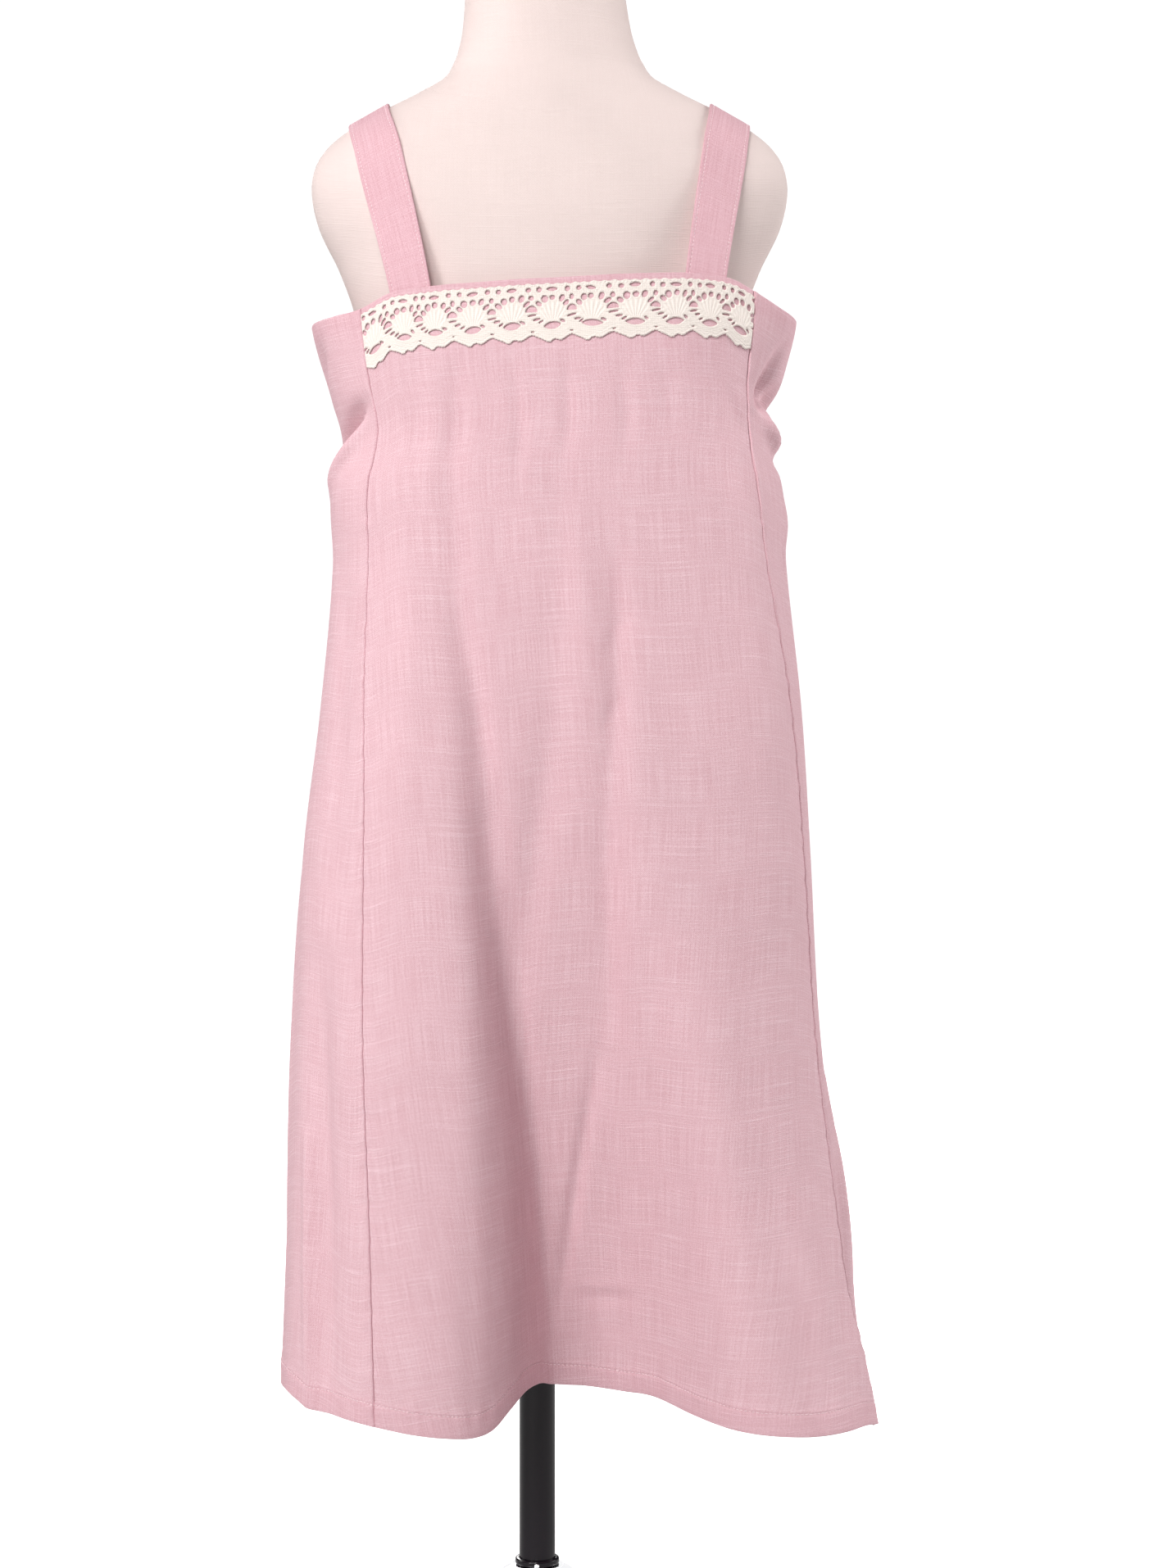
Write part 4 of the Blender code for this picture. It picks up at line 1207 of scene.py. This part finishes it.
def lace_band(name, surface):
    """The lace as one thin openwork sheet over the bib. Returns the piece and its flat area."""
    rows, columns = int(LACE_DEPTH / LACE_STEP) + 1, LACE_COLUMNS
    down_row = np.linspace(LACE_DEPTH, 0, rows)

    def places(length):
        return np.linspace(LACE_ENDS, length - LACE_ENDS, columns)

    drop = -LACE_DROP - down_row / 1000
    turn, height, lengths = along_rows("front", np.ones(rows), drop, places)
    length = lengths.mean()
    pitch = length / len(FAN_PLACES)
    place = places(length) / pitch - 0.5
    fans = np.arange(len(FAN_PLACES))
    across_row = np.interp(place, FAN_PLACES, fans * FAN_WIDTH)
    across_row += np.minimum(place - FAN_PLACES[0], 0) * FAN_WIDTH
    across_row += np.maximum(place - FAN_PLACES[-1], 0) * FAN_WIDTH
    across, down = np.meshgrid(across_row, down_row)
    inside, lower = lace_inside(across, down)
    middle = (inside[1:, 1:] + inside[1:, :-1] + inside[:-1, 1:] + inside[:-1, :-1]) / 4
    kept = middle > 0
    corners = kept[1:, 1:] & kept[:-1, :-1] & ~kept[1:, :-1] & ~kept[:-1, 1:]
    kept[1:, :-1] |= corners
    corners = kept[1:, :-1] & kept[:-1, 1:] & ~kept[1:, 1:] & ~kept[:-1, :-1]
    kept[1:, 1:] |= corners
    beside = np.zeros((rows + 1, columns + 1), int)
    beside[1:-1, 1:-1] = kept
    used = beside[1:, 1:] + beside[1:, :-1] + beside[:-1, 1:] + beside[:-1, :-1]
    rim = (used > 0) & (used < 4)
    slope_down, slope_across = np.gradient(inside, -LACE_STEP, LACE_STEP)
    steep = np.maximum(slope_down**2 + slope_across**2, 0.09)
    limit = 0.55 * LACE_STEP
    move_across = np.where(rim, np.clip(-inside * slope_across / steep, -limit, limit), 0)
    move_down = np.where(rim, np.clip(-inside * slope_down / steep, -limit, limit), 0)
    move_across[:, [0, -1]] = 0
    for values in (turn, height):
        by_down, by_across = np.gradient(values, -LACE_STEP, LACE_STEP)
        values += by_down * move_down + by_across * move_across
    relief = lace_relief(across + move_across, down + move_down, np.where(rim, 0, inside), lower)
    face, out = cloth_place(turn, height)
    points = face + out * (LACE_FACE + relief / 1000)[..., None]
    threads = np.stack([across / 1000, -down / 1000], -1)
    number = np.cumsum(used.ravel() > 0) - 1
    quads = grid_faces(rows, columns)[kept]
    faces = number[quads].tolist()
    corners = threads.reshape(-1, 2)[quads]
    made = smooth_piece(name, points[used > 0], faces, surface, 50, corners)
    thicken(made, LACE_WALL)
    return made, float(kept.mean() * length * LACE_DEPTH / 1000)


def lace_finish(name, deep, pale):
    """The lace's material: round threads that spread out in each fan and cross elsewhere."""
    made, tree, shader = finish(name, Roughness=0.9, Specular_IOR_Level=0.25, Sheen_Weight=0.05)
    calc = calculator(tree)
    threads = wire(tree, "ShaderNodeUVMap", uv_map="threads").outputs[0]
    apart = wire(tree, "ShaderNodeSeparateXYZ", {0: threads}).outputs
    local = calc("WRAP", calc("MULTIPLY", apart[0], 1000.0), FAN_WIDTH / 2, -FAN_WIDTH / 2)
    down = calc("MULTIPLY", apart[1], -1000.0)
    swing = calc("MULTIPLY", noise(tree, threads, 420.0, 1.0), 2.2)
    turn = calc("ARCTAN2", local, calc("SUBTRACT", FAN_ROOT, down))
    rays = calc("SINE", calc("MULTIPLY_ADD", turn, FAN_THREADS, swing))
    rise = calc("DIVIDE", calc("SUBTRACT", down, FAN_MIDDLE), FAN_HALF_HEIGHT)
    aside = calc("POWER", calc("DIVIDE", local, FAN_HALF_WIDTH), 2.0)
    fan = spread(tree, calc("SQRT", calc("MULTIPLY_ADD", rise, rise, aside)), 0.85, 1.2, 1.0, 0.0)
    leaning = calc("SINE", calc("MULTIPLY_ADD", calc("ADD", local, down), 4.4, swing))
    crossing = calc("SINE", calc("MULTIPLY_ADD", calc("SUBTRACT", local, down), 4.4, swing))
    crossed = calc("MULTIPLY", leaning, crossing)
    spun = calc("MULTIPLY_ADD", rays, 0.45, calc("MULTIPLY", crossed, 0.55))
    height = wire(tree, "ShaderNodeMix", {0: fan, 2: crossed, 3: spun}, data_type="FLOAT").outputs[0]
    tone = blend(tree, spread(tree, height, -1.0, 0.7), deep, pale)
    coat(shader, Base_Color=tone, Normal=bump(tree, 0.4, 0.0003, height))
    return made


cream_cotton = lace_finish("cream_cotton_lace", (0.84, 0.735, 0.675), (0.99, 0.92, 0.865))
lace, lace_area = lace_band("fan_lace", cream_cotton)
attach(lace, "root")
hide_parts("front_lace")

# The stitches: rows of short pale thread beads, along the hem of each panel and near both
# edges of each strap. One thread is set along each row at an even length.

THREAD_LIFT = 0.00004
HEM_ROW_INSET = 0.0012
STRAP_ROW_INSET = 0.001
HEM_ROW_POINTS = 900
STRAP_ROW_POINTS = 700


def stitch_tree():
    """A geometry tree that lays small beads of thread end to end along the edges it is given."""
    tree = bpy.data.node_groups.new("stitches", "GeometryNodeTree")
    given = group_inputs(
        tree,
        ("Geometry", "Geometry", None),
        ("Pitch", "Float", 0.0024),
        ("Size", "Vector", (0.0009, 0.00032, 0.00026)),
        ("Thread", "Material", None),
    )
    tree.interface.new_socket("Geometry", in_out="OUTPUT", socket_type="NodeSocketGeometry")
    curve = wire(tree, "GeometryNodeMeshToCurve", {"Mesh": given["Geometry"]}).outputs[0]
    along = {"Curve": curve, "Length": given["Pitch"]}
    points = wire(tree, "GeometryNodeCurveToPoints", along, mode="LENGTH").outputs
    bead = wire(tree, "GeometryNodeMeshUVSphere", {"Segments": 6, "Rings": 4, "Radius": 1.0})
    turn = wire(tree, "FunctionNodeAlignRotationToVector", {"Vector": points["Tangent"]}, axis="X")
    chance = {"Min": (0.85, 0.85, 0.85), "Max": (1.12, 1.1, 1.1), "Seed": 3}
    uneven = wire(tree, "FunctionNodeRandomValue", chance, data_type="FLOAT_VECTOR").outputs[0]
    size = wire(tree, "ShaderNodeVectorMath", {0: uneven, 1: given["Size"]}, operation="MULTIPLY")
    beads = {
        "Points": points["Points"],
        "Instance": bead.outputs["Mesh"],
        "Rotation": turn.outputs[0],
        "Scale": size.outputs[0],
    }
    laid = wire(tree, "GeometryNodeInstanceOnPoints", beads).outputs[0]
    real = wire(tree, "GeometryNodeRealizeInstances", {"Geometry": laid}).outputs[0]
    done = wire(tree, "GeometryNodeSetMaterial", {"Geometry": real, "Material": given["Thread"]})
    wire(tree, "NodeGroupOutput", {"Geometry": done.outputs[0]})
    return tree


STITCHES = stitch_tree()


def stitch_row(name, lines, surface):
    """Beads of thread along each line of points, made a plain mesh."""
    points, edges = [], []
    for line in lines:
        edges += [(len(points) + k, len(points) + k + 1) for k in range(len(line) - 1)]
        points += line.tolist()
    mesh = bpy.data.meshes.new(name)
    mesh.from_pydata(points, edges, [])
    made = bpy.data.objects.new(name, mesh)
    bpy.context.scene.collection.objects.link(made)
    laid = made.modifiers.new("stitches", "NODES")
    laid.node_group = STITCHES
    for item in STITCHES.interface.items_tree:
        if item.name == "Thread":
            laid[item.identifier] = surface
    bpy.context.view_layer.update()
    evaluated = made.evaluated_get(bpy.context.evaluated_depsgraph_get())
    finished = bpy.data.meshes.new_from_object(evaluated)
    made.modifiers.remove(laid)
    made.data = finished
    finished.name = name
    finished.shade_smooth()
    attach(made, "root")
    return made


def hem_line(panel):
    """A panel's stitch line, in the dent over its hem."""

    def places(length):
        return np.linspace(HEM_ROW_INSET, length - HEM_ROW_INSET, HEM_ROW_POINTS)

    turn, height, lengths = along_rows(panel, [0.0], [HEM_STITCH_RISE], places)
    place = places(lengths[0])[None, :]
    relief = sewn_relief(panel, turn, height, np.minimum(place, lengths[0] - place))
    face, out = cloth_place(turn, height)
    return (face + out * (relief + THREAD_LIFT)[..., None])[0]


def strap_lines(side):
    """A strap's stitch lines, near both edges of its outer and inner faces."""
    length = STRAP_ROUTES[side][-1][0]
    lengths = np.linspace(STRAP_ROW_INSET, length - STRAP_ROW_INSET, STRAP_ROW_POINTS)
    left, right, out = strap_frame(side, lengths)
    width = np.linalg.norm(right - left, axis=-1).mean()
    lines = []
    for offset, phase in zip((STRAP_STITCH_IN, width - STRAP_STITCH_IN), STRAP_PHASES):
        half = strap_half_thickness(STRAP_STITCH_IN, lengths, phase) + THREAD_LIFT
        middle = left + (right - left) * (offset / width)
        for layer in (1, -1):
            lines.append(middle + out * (STRAP_THICKNESS / 2 + half * layer)[:, None])
    return lines


thread, thread_tree, thread_shader = finish("pale_thread", Roughness=0.7, Sheen_Weight=0.1)
thread_place = wire(thread_tree, "ShaderNodeTexCoord").outputs["Object"]
thread_ply = noise(thread_tree, thread_place, 900.0)
coat(thread_shader, Base_Color=blend(thread_tree, thread_ply, (0.82, 0.58, 0.62), (0.94, 0.76, 0.79)))
front_hem, right_hem, back_hem, left_hem = (
    stitch_row(panel + "_hem_stitches", [hem_line(panel)], thread)
    for panel in ("front", "right", "back", "left")
)
left_strap_rows, right_strap_rows = (
    stitch_row(side + "_strap_stitches", strap_lines(side), thread) for side in ("left", "right")
)
